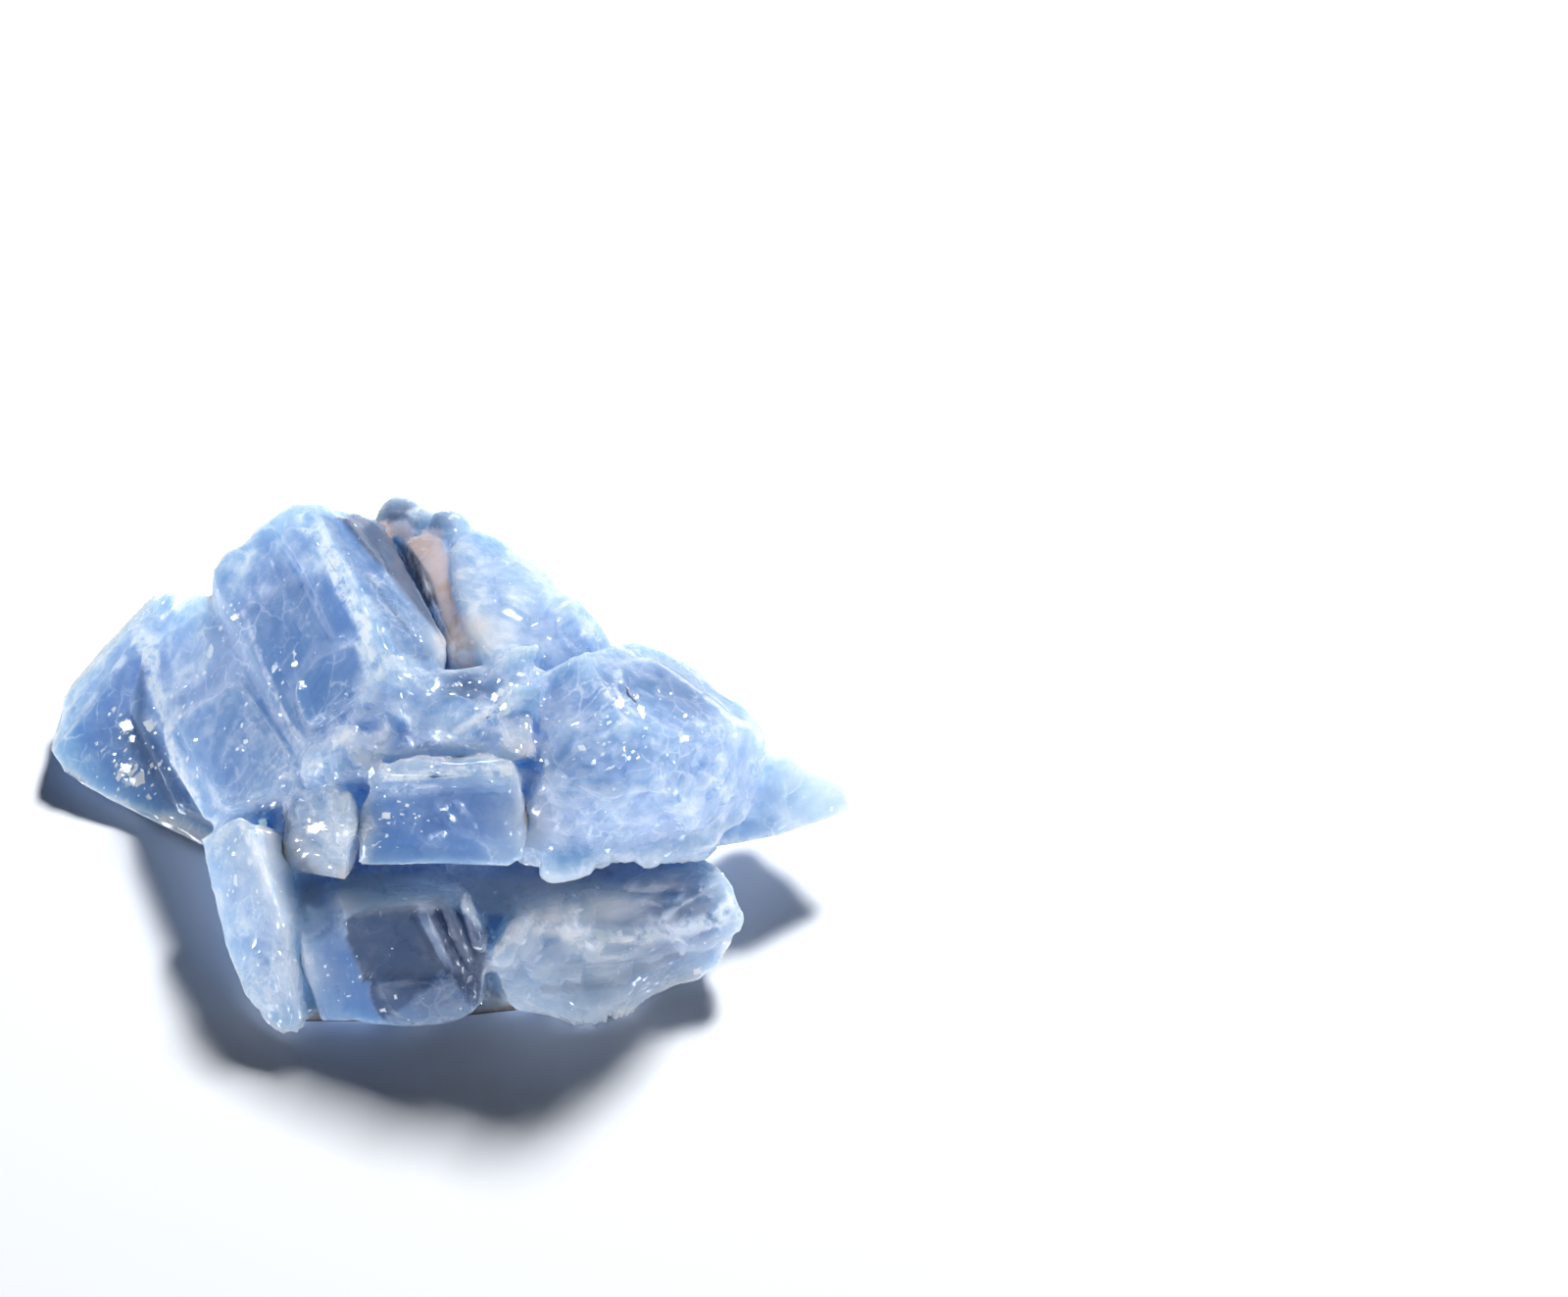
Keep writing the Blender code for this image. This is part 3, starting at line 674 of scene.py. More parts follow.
class View:
    """The stone's points as they show to the eye.

    Attributes:
        tree: The stone's flat faces.
        points: The points, in mm.
        shift: Soft noise at each point, -1 to 1, that makes borders ragged.
        warped: The points, moved by the noise.
        shown: How far across and up each point shows, in mm.
    """

    def __init__(self, tree: BVHTree, points: np.ndarray, ragged: float = 1.4) -> None:
        """Works out how each point shows.

        Args:
            tree: The stone's flat faces, in mm.
            points: The points, in mm.
            ragged: How far the noise moves the points, in mm.
        """
        self.tree = tree
        self.points = points
        self.shift = cloud_shift(points, 4.0, SEED)
        self.warped = points + ragged * self.shift
        self.shown = Eye.shown(points)

    def strike(self, across: float, up: float) -> tuple[np.ndarray, np.ndarray | None]:
        """Where the eye's ray at across and up strikes the stone.

        Args:
            across: How far right of the origin, in mm.
            up: How far above the origin, in mm.

        Returns:
            The place in mm, and the face's normal, or None where the ray misses the stone.
        """
        eye, ray = Eye.place(), Eye.ray(across, up)
        hit, normal = self.tree.ray_cast(Vector(eye), Vector(ray).normalized())[:2]
        return (eye + ray, None) if hit is None else (np.array(hit), np.array(normal))

    def find(self, across: float, up: float) -> np.ndarray:
        """The place on the stone, in mm, that shows at across and up."""
        return self.strike(across, up)[0]


@dataclass(frozen=True)
class Spark:
    """A small facet of the skin, tilted so that it mirrors a lamp to the eye.

    Attributes:
        across: How far right of the origin it shows, in mm.
        up: How far above the origin it shows, in mm.
        long: Its length, in mm.
        wide: Its width, in mm.
        turn: The direction of its length as it shows, in degrees.
        most: The most that it may be tilted against the face it lies in, in degrees.
    """

    across: float
    up: float
    long: float
    wide: float
    turn: float
    most: float = 75.0

    def inside(self, shown: np.ndarray) -> np.ndarray:
        """Whether each point shows inside the facet's rhomb, whose sides meet at CLEAVAGE_ANGLE.

        Args:
            shown: How far across and up each point shows, in mm.

        Returns:
            N truth values.
        """
        angles = np.radians((self.turn, self.turn + CLEAVAGE_ANGLE))
        sides = np.stack([np.cos(angles), np.sin(angles)], axis=1) * np.array([[self.long], [self.wide]]) / 2
        return (np.abs((shown - (self.across, self.up)) @ np.linalg.inv(sides)) < 1).all(axis=1)

    def finest(self, shown: np.ndarray) -> np.ndarray:
        """The longest triangle side that may stay at each place near the facet, which grows with the distance.

        Args:
            shown: How far across and up each place shows, in mm.

        Returns:
            N lengths in mm.
        """
        apart = np.linalg.norm(shown - (self.across, self.up), axis=1) - 0.6 * self.long
        return 0.06 + 0.22 * self.long + 0.9 * np.maximum(apart, 0)

    def normal(self, view: View) -> np.ndarray | None:
        """The facet's normal: the mirror direction, of one of the lamps, nearest to the face's own normal.

        Args:
            view: The stone's points as they show.

        Returns:
            The normal, or None where it would be tilted too far or no stone shows.
        """
        flat = view.strike(self.across, self.up)[1]
        if flat is None:
            return None
        facing = max((lamp.mirror for lamp in Lamp), key=lambda mirror: mirror @ flat)
        return facing if facing @ flat > math.cos(math.radians(self.most)) else None


SPARKS = (
    Spark(-27.6, 10.1, 1.3, 1.0, 20),
    Spark(-27.0, 9.0, 0.7, 0.6, 60),
    Spark(-27.6, 6.4, 0.9, 1.0, 70),
    Spark(-27.2, 5.3, 1.2, 0.7, 10),
    Spark(-11.2, 1.3, 1.8, 0.9, 15),
    Spark(-13.0, 15.4, 0.6, 0.4, 40),
    Spark(-12.4, 13.6, 0.8, 0.4, 80),
    Spark(-18.2, 19.4, 0.6, 0.5, 30),
    Spark(15.0, 12.1, 1.0, 0.8, 50),
    Spark(20.5, 9.0, 0.8, 0.5, 0),
    Spark(5.0, 11.8, 1.2, 0.6, 30),
    Spark(4.2, 12.6, 0.7, 0.6, 75),
)


@dataclass
class Skin:
    """A triangle mesh as whole arrays, in mm.

    Attributes:
        points: Corners, N by 3.
        faces: Corner numbers of each triangle, M by 3.
    """

    points: np.ndarray
    faces: np.ndarray

    def sides(self) -> np.ndarray:
        """The corner numbers of the triangles' sides, 3 M by 2, three rows for each triangle."""
        return np.stack([self.faces, np.roll(self.faces, -1, axis=1)], axis=-1).reshape(-1, 2)

    def refine(self, finest: float, hidden: float, sparks: list[Spark]) -> None:
        """Halves edges until none is too long.

        Each pass marks the edges that are too long and puts a new corner in the middle of each. A triangle with one
        marked edge becomes two, with two marked edges three, and with three marked edges four.

        Args:
            finest: The longest edge that may stay where the eye sees the stone, in mm.
            hidden: The longest that may stay on faces turned away from it, in mm.
            sparks: Small facets; the nearer to one, the shorter the edges.
        """
        while True:
            size = len(self.points)
            ends = self.sides()
            keys = ends.min(axis=1) * size + ends.max(axis=1)
            limit = np.where(self.face_normals() @ Eye.back < -0.25, hidden, finest)
            shown = Eye.shown(self.points[self.faces].mean(axis=1))
            for spark in sparks:
                limit = np.where(limit < hidden, np.minimum(limit, spark.finest(shown)), limit)
            length = np.linalg.norm(self.points[ends[:, 0]] - self.points[ends[:, 1]], axis=1)
            marked = np.unique(keys[length > np.repeat(limit, 3)])
            if not len(marked):
                return
            middle = np.searchsorted(marked, keys)
            middle[middle == len(marked)] = 0
            found = marked[middle] == keys
            pairs = np.stack((marked // size, marked % size), axis=1)
            self.points = np.vstack([self.points, self.points[pairs].mean(axis=1)])
            self.faces = self._split(np.where(found, size + middle, -1).reshape(-1, 3))

    def _split(self, mid: np.ndarray) -> np.ndarray:
        """Splits each triangle by its new side middles.

        Args:
            mid: For each triangle and side, the new corner's number, or -1 where the side stays whole.

        Returns:
            The new triangles.
        """
        count = (mid >= 0).sum(axis=1)
        made = [self.faces[count == 0]]
        for k in range(3):
            a, b, c = np.roll(self.faces, -k, axis=1).T
            m_ab, m_bc, m_ca = np.roll(mid, -k, axis=1).T
            one = (count == 1) & (m_ab >= 0)
            made += [np.stack(t, 1)[one] for t in ((a, m_ab, c), (m_ab, b, c))]
            two = (count == 2) & (m_ca < 0)
            # The four-sided rest is cut along its shorter diagonal.
            first = np.linalg.norm(self.points[a] - self.points[m_bc], axis=1)
            shorter = first < np.linalg.norm(self.points[m_ab] - self.points[c], axis=1)
            made += [np.stack((m_ab, b, m_bc), 1)[two]]
            made += [np.stack(t, 1)[two & shorter] for t in ((a, m_ab, m_bc), (a, m_bc, c))]
            made += [np.stack(t, 1)[two & ~shorter] for t in ((a, m_ab, c), (m_ab, m_bc, c))]
        a, b, c = self.faces[count == 3].T
        m_ab, m_bc, m_ca = mid[count == 3].T
        made += [np.stack(t, 1) for t in ((a, m_ab, m_ca), (m_ab, b, m_bc), (m_ca, m_bc, c), (m_ab, m_bc, m_ca))]
        return np.vstack(made)

    def crosses(self) -> np.ndarray:
        """The cross product of two sides of each triangle: along its normal, and twice its area long."""
        a, b, c = (self.points[self.faces[:, k]] for k in range(3))
        return np.cross(b - a, c - a)

    def face_normals(self) -> np.ndarray:
        """Unit normals of the triangles."""
        return unit(self.crosses())

    def gather(self, values: np.ndarray) -> np.ndarray:
        """Brings values of the triangles' corners to the points, as an average by area.

        Args:
            values: One row for each triangle corner, M by 3 by K.

        Returns:
            One row for each point, N by K.
        """
        weight = np.repeat(np.linalg.norm(self.crosses(), axis=1) / 2 + 1e-9, 3)
        index = self.faces.ravel()
        columns = values.reshape(len(index), -1).T
        total = np.stack([np.bincount(index, column * weight, len(self.points)) for column in columns], axis=1)
        return total / np.bincount(index, weight, len(self.points))[:, None]

    def melt(self, share: np.ndarray, rounds: int) -> None:
        """Rounds the surface off: again and again, each point moves part of the way to the middle of its neighbours.

        Args:
            share: How far each point moves each time, 0 to 1.
            rounds: How many times.
        """
        starts, ends = self.sides().T
        count = np.bincount(starts, minlength=len(self.points))[:, None]
        for _ in range(rounds):
            total = np.stack([np.bincount(starts, self.points[ends, k], len(self.points)) for k in range(3)], axis=1)
            self.points = self.points + share[:, None] * (total / count - self.points)

    def settle(self, before: np.ndarray, rounds: int = 14) -> None:
        """Rounds off the places where a triangle has turned too far over, until few are left.

        Args:
            before: The triangles' normals before their corners moved.
            rounds: How often this is tried.
        """
        for _ in range(rounds):
            over = (self.face_normals() * before).sum(axis=1) < 0.3
            corners = np.bincount(self.faces[over].ravel(), minlength=len(self.points)) > 0
            self.melt(0.7 * corners, 1)

    def point_normals(self) -> np.ndarray:
        """Unit normals of the points, averaged over their triangles by area."""
        return unit(self.gather(np.repeat(self.face_normals()[:, None], 3, axis=1)))

    def sharp_edges(self, least: float) -> tuple[np.ndarray, np.ndarray]:
        """Finds the edges where two flat faces meet.

        Args:
            least: The least turn between the faces, in degrees.

        Returns:
            The ends of each edge, E by 2 by 3, and whether it stands out rather than lies in a corner.
        """
        owner = np.repeat(np.arange(len(self.faces)), 3)
        keys = np.sort(self.sides(), axis=1)
        order = np.lexsort((keys[:, 1], keys[:, 0]))
        keys, owner = keys[order], owner[order]
        same = (keys[1:] == keys[:-1]).all(axis=1)
        first, second = owner[:-1][same], owner[1:][same]
        pairs = keys[:-1][same]
        normals = self.face_normals()
        sharp = (normals[first] * normals[second]).sum(axis=1) < math.cos(math.radians(least))
        first, second, pairs = first[sharp], second[sharp], pairs[sharp]
        middles = self.points[self.faces].mean(axis=1)
        out = (normals[first] * (middles[second] - middles[first])).sum(axis=1) < 0
        return self.points[pairs], out


@dataclass
class CalciteStone:
    """The stone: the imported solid's faces with fine cleavage steps, chips and rough breaks.

    Attributes:
        edge_mm: The longest triangle side of the finished skin, where the eye sees it and on faces turned away.
        sharp_degrees: The least turn between two faces whose edge gets chips, or grows together.
        edge_reach_mm: No point counts as farther than this from such an edge.
        step_mm: Height of one cleavage step.
        rhomb_mm: Sizes of the rhombs that the steps' outlines follow, along each cleavage normal.
        terrace_mm: Size of the clouds that raise and lower the steps.
        chip_mm: The deepest chip along an edge that stands out.
        chip_reach_mm: How far from the edge a chip reaches.
        chip_apart_mm: How far apart the chips are.
        worn_mm: How deep every such edge is rounded.
        worn_reach_mm: How far from the edge the rounding and its frost reach.
        frost_mm: Size of the stretches with frost on such an edge.
        break_mm: Depth of the roughness on a rough break.
        hummock_mm: Size of the hummocks on a rough break.
        facet_mm: Size of its small facets.
        pit_mm: Size of the finest pits, which are everywhere.
        pit_depth_mm: Their depth.
        swell_mm: How far melted parts swell, which makes up for what the melting takes away.
        knit_mm: Distances from an inner corner: up to the first the crystals have grown together, from the second
            on they haven't.
        hollow_mm: The same for the paler blue in an inner corner.
        bulge_mm: How far the fullest bulges stand out.
        floor_mm: Points lower than this belong to the flat base and stay on it.
        tidy_mm: Up to this height, the steps, breaks and chips fade, so that the base keeps a clean outline.
        spark_move_mm: How far a point of a tilted facet may move.
        skin: The skin, as it takes shape.
        view: Its points as they showed before they moved.
        sparks: The tilted facets.
        tones: The tones at the skin's points.
        lattice: Each point's distance along its grain's three cleavage normals, in mm.
    """

    edge_mm: tuple[float, float] = (0.65, 1.6)
    sharp_degrees: float = 25.0
    edge_reach_mm: float = 2.0
    step_mm: float = 0.11
    rhomb_mm: tuple[float, float, float] = (1.3, 2.9, 2.1)
    terrace_mm: float = 9.0
    chip_mm: float = 0.28
    chip_reach_mm: float = 0.7
    chip_apart_mm: float = 2.4
    worn_mm: float = 0.09
    worn_reach_mm: float = 0.6
    frost_mm: float = 2.6
    break_mm: float = 0.9
    hummock_mm: float = 3.2
    facet_mm: float = 1.3
    pit_mm: float = 0.9
    pit_depth_mm: float = 0.03
    swell_mm: float = 0.3
    knit_mm: tuple[float, float] = (0.4, 1.7)
    hollow_mm: tuple[float, float] = (0.1, 1.2)
    bulge_mm: float = 1.8
    floor_mm: float = 0.05
    tidy_mm: float = 1.0
    spark_move_mm: float = 0.4
    skin: Skin = field(init=False)
    view: View = field(init=False)
    sparks: list[Spark] = field(init=False)
    tones: dict[Tone, np.ndarray] = field(init=False)
    lattice: np.ndarray = field(init=False)

    def packed_skin(self) -> Skin:
        """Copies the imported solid, merges its loose triangles and joins those that lie flat side by side.

        Returns:
            The solid's skin, in mm.
        """
        mesh = bmesh.new()
        mesh.from_mesh(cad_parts[NODE].data)
        bmesh.ops.remove_doubles(mesh, verts=mesh.verts, dist=0.05 * MM)
        bmesh.ops.dissolve_limit(mesh, angle_limit=math.radians(1.0), verts=mesh.verts, edges=mesh.edges)
        bmesh.ops.triangulate(mesh, faces=mesh.faces, quad_method="BEAUTY", ngon_method="BEAUTY")
        merged = bpy.data.meshes.new("merged_skin")
        mesh.to_mesh(merged)
        mesh.free()
        points = np.empty(3 * len(merged.vertices), np.float32)
        merged.vertices.foreach_get("co", points)
        faces = np.empty(3 * len(merged.polygons), np.int32)
        merged.loops.foreach_get("vertex_index", faces)
        bpy.data.meshes.remove(merged)
        return Skin(points.reshape(-1, 3) / MM, faces.reshape(-1, 3).astype(int))

    def scatter(self) -> list[Spark]:
        """Gathers the named sparks, and tiny ones scattered over each patch of glints.

        Returns:
            The sparks.
        """
        chance = np.random.default_rng(SEED)
        sparks = list(SPARKS)
        for part in PARTS:
            if part.tone is Tone.GLINT:
                for _ in range(int(4 * part.reach * part.strength)):
                    across, up = chance.normal((part.across, part.up), 0.6 * part.reach)
                    long, wide, turn = chance.uniform((0.16, 0.16, 0), (0.38, 0.3, 90))
                    sparks.append(Spark(across, up, long, wide, turn, 35))
        return sparks

    def add_tones(self) -> None:
        """Works out the tones of the named parts: one minus the product of what each part leaves."""
        left = {tone: np.ones(len(self.view.points)) for tone in Tone}
        for part in PARTS:
            log.debug("%s: %s", part.name, part.tone.value)
            left[part.tone] *= 1 - part.amount(self.view)
        self.tones = {tone: 1 - value for tone, value in left.items()}

    def planes_at(self, places: np.ndarray) -> np.ndarray:
        """The cleavage planes at each place: those of the nearest grain, with wavy borders between grains.

        Args:
            places: The places, N by 3, in mm.

        Returns:
            Three normals for each place, N by 3 by 3.
        """
        wavy = places + 2.5 * cloud_shift(places, 7.0, SEED + 60, 2)
        apart = np.linalg.norm(wavy[:, None] - np.array([grain.middle for grain in Grain]), axis=2)
        return np.array([grain.normals for grain in Grain])[apart.argmin(axis=1)]

    def edge_distance(self, ends: np.ndarray) -> np.ndarray:
        """How far each point is from the nearest of some edges, up to edge_reach_mm.

        Args:
            ends: The ends of each edge, E by 2 by 3, in mm.

        Returns:
            N distances in mm.
        """
        points = self.skin.points
        best = np.full(len(points), self.edge_reach_mm)
        for pair in ends:
            low, high = pair.min(axis=0) - self.edge_reach_mm, pair.max(axis=0) + self.edge_reach_mm
            near = np.flatnonzero(((points > low) & (points < high)).all(axis=1))
            best[near] = np.minimum(best[near], segment_distance(points[near], *pair)[0])
        return best

    def cleavage_steps(self) -> np.ndarray:
        """How far each point moves so that the flat faces are stepped in terraces.

        Each flat face is cut into rhombs along the two cleavage planes that cross it. Soft noise, read in the middle
        of each rhomb and rounded to a whole number of steps, gives the rhomb's depth.

        Returns:
            A shift for each point, N by 3.
        """
        normals = self.skin.face_normals()
        corners = self.skin.points[self.skin.faces]
        middles = corners.mean(axis=1)
        planes = self.planes_at(middles)
        best = np.abs(np.einsum("mi,mki->mk", normals, planes)).argmax(axis=1)
        cells = np.floor(np.einsum("mci,mki->mck", corners, planes) / self.rhomb_mm)
        spots = (cells + 0.5) * self.rhomb_mm
        spots[np.arange(len(best)), :, best] = np.round((normals * middles).sum(axis=1), 1)[:, None]
        noise = cloud_noise(spots.reshape(-1, 3), self.terrace_mm, SEED + 40, 2).reshape(cells.shape[:2])
        depth = self.step_mm * np.clip(np.floor(1.5 + 5 * noise), 0, 4)
        return self.skin.gather(-normals[:, None] * depth[..., None])

    def rough_breaks(self) -> np.ndarray:
        """How deep each point sinks where the stone broke across the grain.

        The depth is soft noise and small random facets, both scaled by how crumbled the place is.

        Returns:
            N depths in mm.
        """
        points = self.skin.points
        coarse = cloud_noise(points, self.hummock_mm, SEED + 5)
        cells = np.floor(points @ Grain.LUMP.normals.T / self.facet_mm + 0.5 * coarse[:, None])
        depth = self.break_mm * self.tones[Tone.CRUMBLE] * (0.9 * coarse + 0.75 * cell_value(cells, SEED + 6) - 0.3)
        depth += self.pit_depth_mm * (1 + cloud_noise(points, self.pit_mm, SEED + 7, 2))
        return depth - self.swell_mm * self.tones[Tone.MELT]

    def chips(self, from_edge: np.ndarray) -> np.ndarray:
        """How deep each point sinks where an edge that stands out is worn round, and chipped here and there.

        Args:
            from_edge: Each point's distance to the nearest such edge, in mm.

        Returns:
            N depths in mm.
        """
        often = smoothstep(0.0, 0.5, cloud_noise(self.skin.points, self.chip_apart_mm, SEED + 8))
        chipped = self.chip_mm * often * (1 - smoothstep(0, self.chip_reach_mm, from_edge))
        return chipped + self.worn_mm * (1 - smoothstep(0, self.worn_reach_mm, from_edge))

    def add_frost(self, from_edge: np.ndarray) -> None:
        """Adds frost, in stretches, along the edges that stand out, but hardly any where the slate tone lies, which
        is partly painted shade.

        Args:
            from_edge: Each point's distance to the nearest such edge, in mm.
        """
        stretches = smoothstep(-0.1, 0.5, cloud_noise(self.skin.points, self.frost_mm, SEED + 9))
        frost = 0.75 * (1 - smoothstep(0.0, self.worn_reach_mm, from_edge)) * stretches
        frost *= 1 - 0.9 * self.tones[Tone.SLATE]
        self.tones[Tone.FROST] = 1 - (1 - self.tones[Tone.FROST]) * (1 - frost)

    def add_sparks(self) -> None:
        """Tilts the small facets: their points move along the line of sight on to a plane through their middle."""
        points = self.skin.points
        shown = Eye.shown(points)
        toward = self.skin.point_normals() @ Eye.back
        for spark in self.sparks:
            place = self.view.find(spark.across, spark.up)
            chosen = spark.inside(shown) & (toward > 0.1) & (np.abs((points - place) @ Eye.back) < 2)
            normal = spark.normal(self.view)
            if normal is None or not chosen.any():
                continue
            own = points[chosen]
            move = -((own - own.mean(axis=0)) @ normal) / (normal @ Eye.back)
            points[chosen] = own + np.clip(move, -self.spark_move_mm, self.spark_move_mm)[:, None] * Eye.back
            # Each facet is glossy, and also painted white: a painted highlight over the lamp's real reflection.
            self.tones[Tone.GLINT][chosen] = 1.0
            self.tones[Tone.FROST][chosen] = 0.8

    def build(self) -> bpy.types.Object:
        """Builds the stone's mesh with its tones.

        Returns:
            The stone's object, with no material yet.
        """
        self.skin = skin = self.packed_skin()
        self.sparks = self.scatter()
        ends, out = skin.sharp_edges(self.sharp_degrees)
        tree = BVHTree.FromPolygons(skin.points.tolist(), skin.faces.tolist())
        skin.refine(*self.edge_mm, self.sparks)
        log.info("stone skin: %d points, %d triangles", len(skin.points), len(skin.faces))
        self.view = View(tree, skin.points)
        self.add_tones()
        from_out, from_in = self.edge_distance(ends[out]), self.edge_distance(ends[~out])
        based = skin.points[:, 2] < self.floor_mm
        # The crystals grow together, first in the inner corners and melted parts, then a little everywhere.
        knit = 1 - smoothstep(*self.knit_mm, from_in)
        skin.melt(np.where(based, 0, 0.7 * np.maximum(self.tones[Tone.MELT], 0.8 * knit)), 16)
        skin.melt(np.where(based, 0, 0.3), 2)
        # The new faces are stepped, broken and chipped, and then raised where they bulge.
        normals, before = skin.point_normals(), skin.face_normals()
        shift = self.cleavage_steps() * (1 - self.tones[Tone.MELT])[:, None]
        shift -= normals * (self.rough_breaks() + self.chips(from_out))[:, None]
        shift *= smoothstep(0.0, self.tidy_mm, skin.points[:, 2])[:, None]
        shift += normals * self.bulge_mm * self.tones[Tone.BULGE][:, None]
        shift[based, 2] = 0
        self.lattice = np.einsum("ni,nki->nk", skin.points, self.planes_at(skin.points))
        self.add_frost(from_out)
        self.tones[Tone.HOLLOW] = 1 - smoothstep(*self.hollow_mm, from_in)
        skin.points = skin.points + shift
        skin.settle(before)
        skin.points[based, 2] = 0
        self.add_sparks()
        skin.points = np.clip(skin.points, *(np.array(CAD_BOX) / MM))
        return self.to_object()

    def to_object(self) -> bpy.types.Object:
        """Puts the skin and the tones into a Blender object.

        Returns:
            The object, at the origin.
        """
        mesh = bpy.data.meshes.new("blue_calcite")
        mesh.from_pydata((self.skin.points * MM).tolist(), [], self.skin.faces.tolist())
        mesh.update()
        for tone, values in self.tones.items():
            layer = mesh.attributes.new(tone.value, "FLOAT", "POINT")
            layer.data.foreach_set("value", np.clip(values, 0, 1).astype(np.float32))
        layer = mesh.attributes.new("lattice", "FLOAT_VECTOR", "POINT")
        layer.data.foreach_set("vector", self.lattice.astype(np.float32).ravel())
        mesh.shade_smooth()
        mesh.set_sharp_from_angle(angle=math.radians(16))
        stone = bpy.data.objects.new("blue_calcite", mesh)
        bpy.context.scene.collection.objects.link(stone)
        return stone


# What can feed a node's input: a socket, or a node by its first output.
Source = bpy.types.NodeSocket | bpy.types.Node


def add_node(tree: bpy.types.NodeTree, kind: str, settings: dict | None = None, **links: Source) -> bpy.types.Node:
    """Adds a node with its settings and links.

    Args:
        tree: The material's node tree.
        kind: The node's type name without "ShaderNode".
        settings: Properties by name, and input values by socket name or number.
        **links: What feeds each input. An input goes by its name, with _ for a space, or by its number as in_0, in_1.

    Returns:
        The new node.
    """
    node = tree.nodes.new("ShaderNode" + kind)
    for key, value in (settings or {}).items():
        if isinstance(key, int) or key in node.inputs:
            node.inputs[key].default_value = value
        else:
            setattr(node, key, value)
    for name, source in links.items():
        key = int(name[3:]) if name.startswith("in_") else name.replace("_", " ")
        socket = source.outputs[0] if isinstance(source, bpy.types.Node) else source
        tree.links.new(socket, node.inputs[key])
    return node


@dataclass(frozen=True)
class BlueCalcite:
    """Blue calcite, cleaved: a cloudy, see-through carbonate with glassy cleavage faces.

    It glows from within and lightens where it is thin. Its cleavage faces shine like glass, its broken edges are
    white, and veils of tiny cracks lie in it along the cleavage.

    Attributes:
        blue: The stone's usual blue.
        deep: The clear, dark blue of the windows.
        pale: The cloudy parts; in the recess, on the ledge's top, on the right tip and on the front block's right end
            it is also painted light.
        slate: Dark grey-blue: the slate-coloured faces, and painted shade on shaded walls and hollows.
        white: Broken edges, veils and flecks; where the stone glints, the flecks are painted highlights.
        dirt: Grey-brown on the valley's rim, and painted shade in the pit and other shaded places.
        ash: The greyish white of the ledge, and painted light in the recess above it and in shaded gaps.
        tan: The stain of the vein.
        rust: The stain where it is strongest.
        ior: Between calcite's refractive indices for its two rays, 1.66 and 1.49.
        shine: Specular level: low, because the faces are worn and dusty.
        gloss: Roughness of a clean cleavage face, and of a crumbled place.
        glow_m: How far light wanders in the stone.
        glow: How far its red, green and blue wander, against each other.
        clear: How much light goes straight through.
        cloud_mm: Size of the clouds.
        mottle_mm: Size of the mottling.
        gap_mm: Size of the gaps in the frost.
        grit_mm: Size of the finest grit.
        grit_depth_mm: Its depth.
        veil_mm: Spacing of the veils.
        fleck_mm: Spacing of the white flecks.
        dust_mm: Spacing of the finest flecks.
        swarm_mm: Size of the swarms that flecks lie in.
        block_mm: Size of the blocks that the crystal is cracked into.
        turn_mm: How deep a block's face is turned.
        crack_mm: Size of the cells between the fine white cracks.
    """

    blue: str = "#98B4D9"
    deep: str = "#658CC0"
    pale: str = "#BED0EA"
    slate: str = "#42516F"
    white: str = "#EEF4FF"
    dirt: str = "#6A6C7C"
    ash: str = "#D2D7DF"
    tan: str = "#D8CCD0"
    rust: str = "#CFB9B0"
    ior: float = 1.56
    shine: float = 0.14
    gloss: tuple[float, float] = (0.1, 0.55)
    glow_m: float = 0.011
    glow: tuple[float, float, float] = (0.65, 0.83, 1.0)
    clear: float = 0.15
    cloud_mm: float = 6.0
    mottle_mm: float = 2.2
    gap_mm: float = 1.3
    grit_mm: float = 0.6
    grit_depth_mm: float = 0.03
    veil_mm: float = 1.1
    fleck_mm: float = 1.7
    dust_mm: float = 0.7
    swarm_mm: float = 6.0
    block_mm: float = 4.2
    turn_mm: float = 0.06
    crack_mm: float = 1.9

    def lay(
        self,
        tree: bpy.types.NodeTree,
        under: Source | str,
        over: Source | str,
        where: Source,
        low: float = 0.0,
        high: float = 1.0,
        most: float = 1.0,
    ) -> bpy.types.NodeSocket:
        """Lays one colour over another where a value is high.

        Args:
            tree: The material's node tree.
            under: The lower colour, linked or as a hex code.
            over: The upper colour, linked or as a hex code.
            where: The value.
            low: The value at which the upper colour starts.
            high: The value at which it is as strong as it gets.
            most: How strong that is, 0 to 1.

        Returns:
            The colour that results.
        """
        share = add_node(tree, "MapRange", {"From Min": low, "From Max": high, "To Max": most}, Value=where)
        settings = {"data_type": "RGBA"}
        links = {"in_0": share}
        for number, colour in ((6, under), (7, over)):
            if isinstance(colour, str):
                settings[number] = (*linear_rgb(colour), 1)
            else:
                links[f"in_{number}"] = colour
        return add_node(tree, "Mix", settings, **links).outputs[2]

    def veils(self, tree: bpy.types.NodeTree, lattice: Source, family: int) -> bpy.types.Node:
        """Veils of tiny cracks in thin layers along one cleavage plane.

        Args:
            tree: The material's node tree.
            lattice: The distances along the cleavage normals, in mm.
            family: Which cleavage plane, 0 to 2.

        Returns:
            Noise that is high in a veil.
        """
        thin = tuple(1.0 if axis == family else 0.16 for axis in range(3))
        layers = add_node(tree, "Mapping", {"Scale": thin, "Location": (3.7 * family, 0, 0)}, Vector=lattice)
        settings = {"Scale": 1 / self.veil_mm, "Detail": 4.0, "Roughness": 0.65}
        return add_node(tree, "TexNoise", settings, Vector=layers)

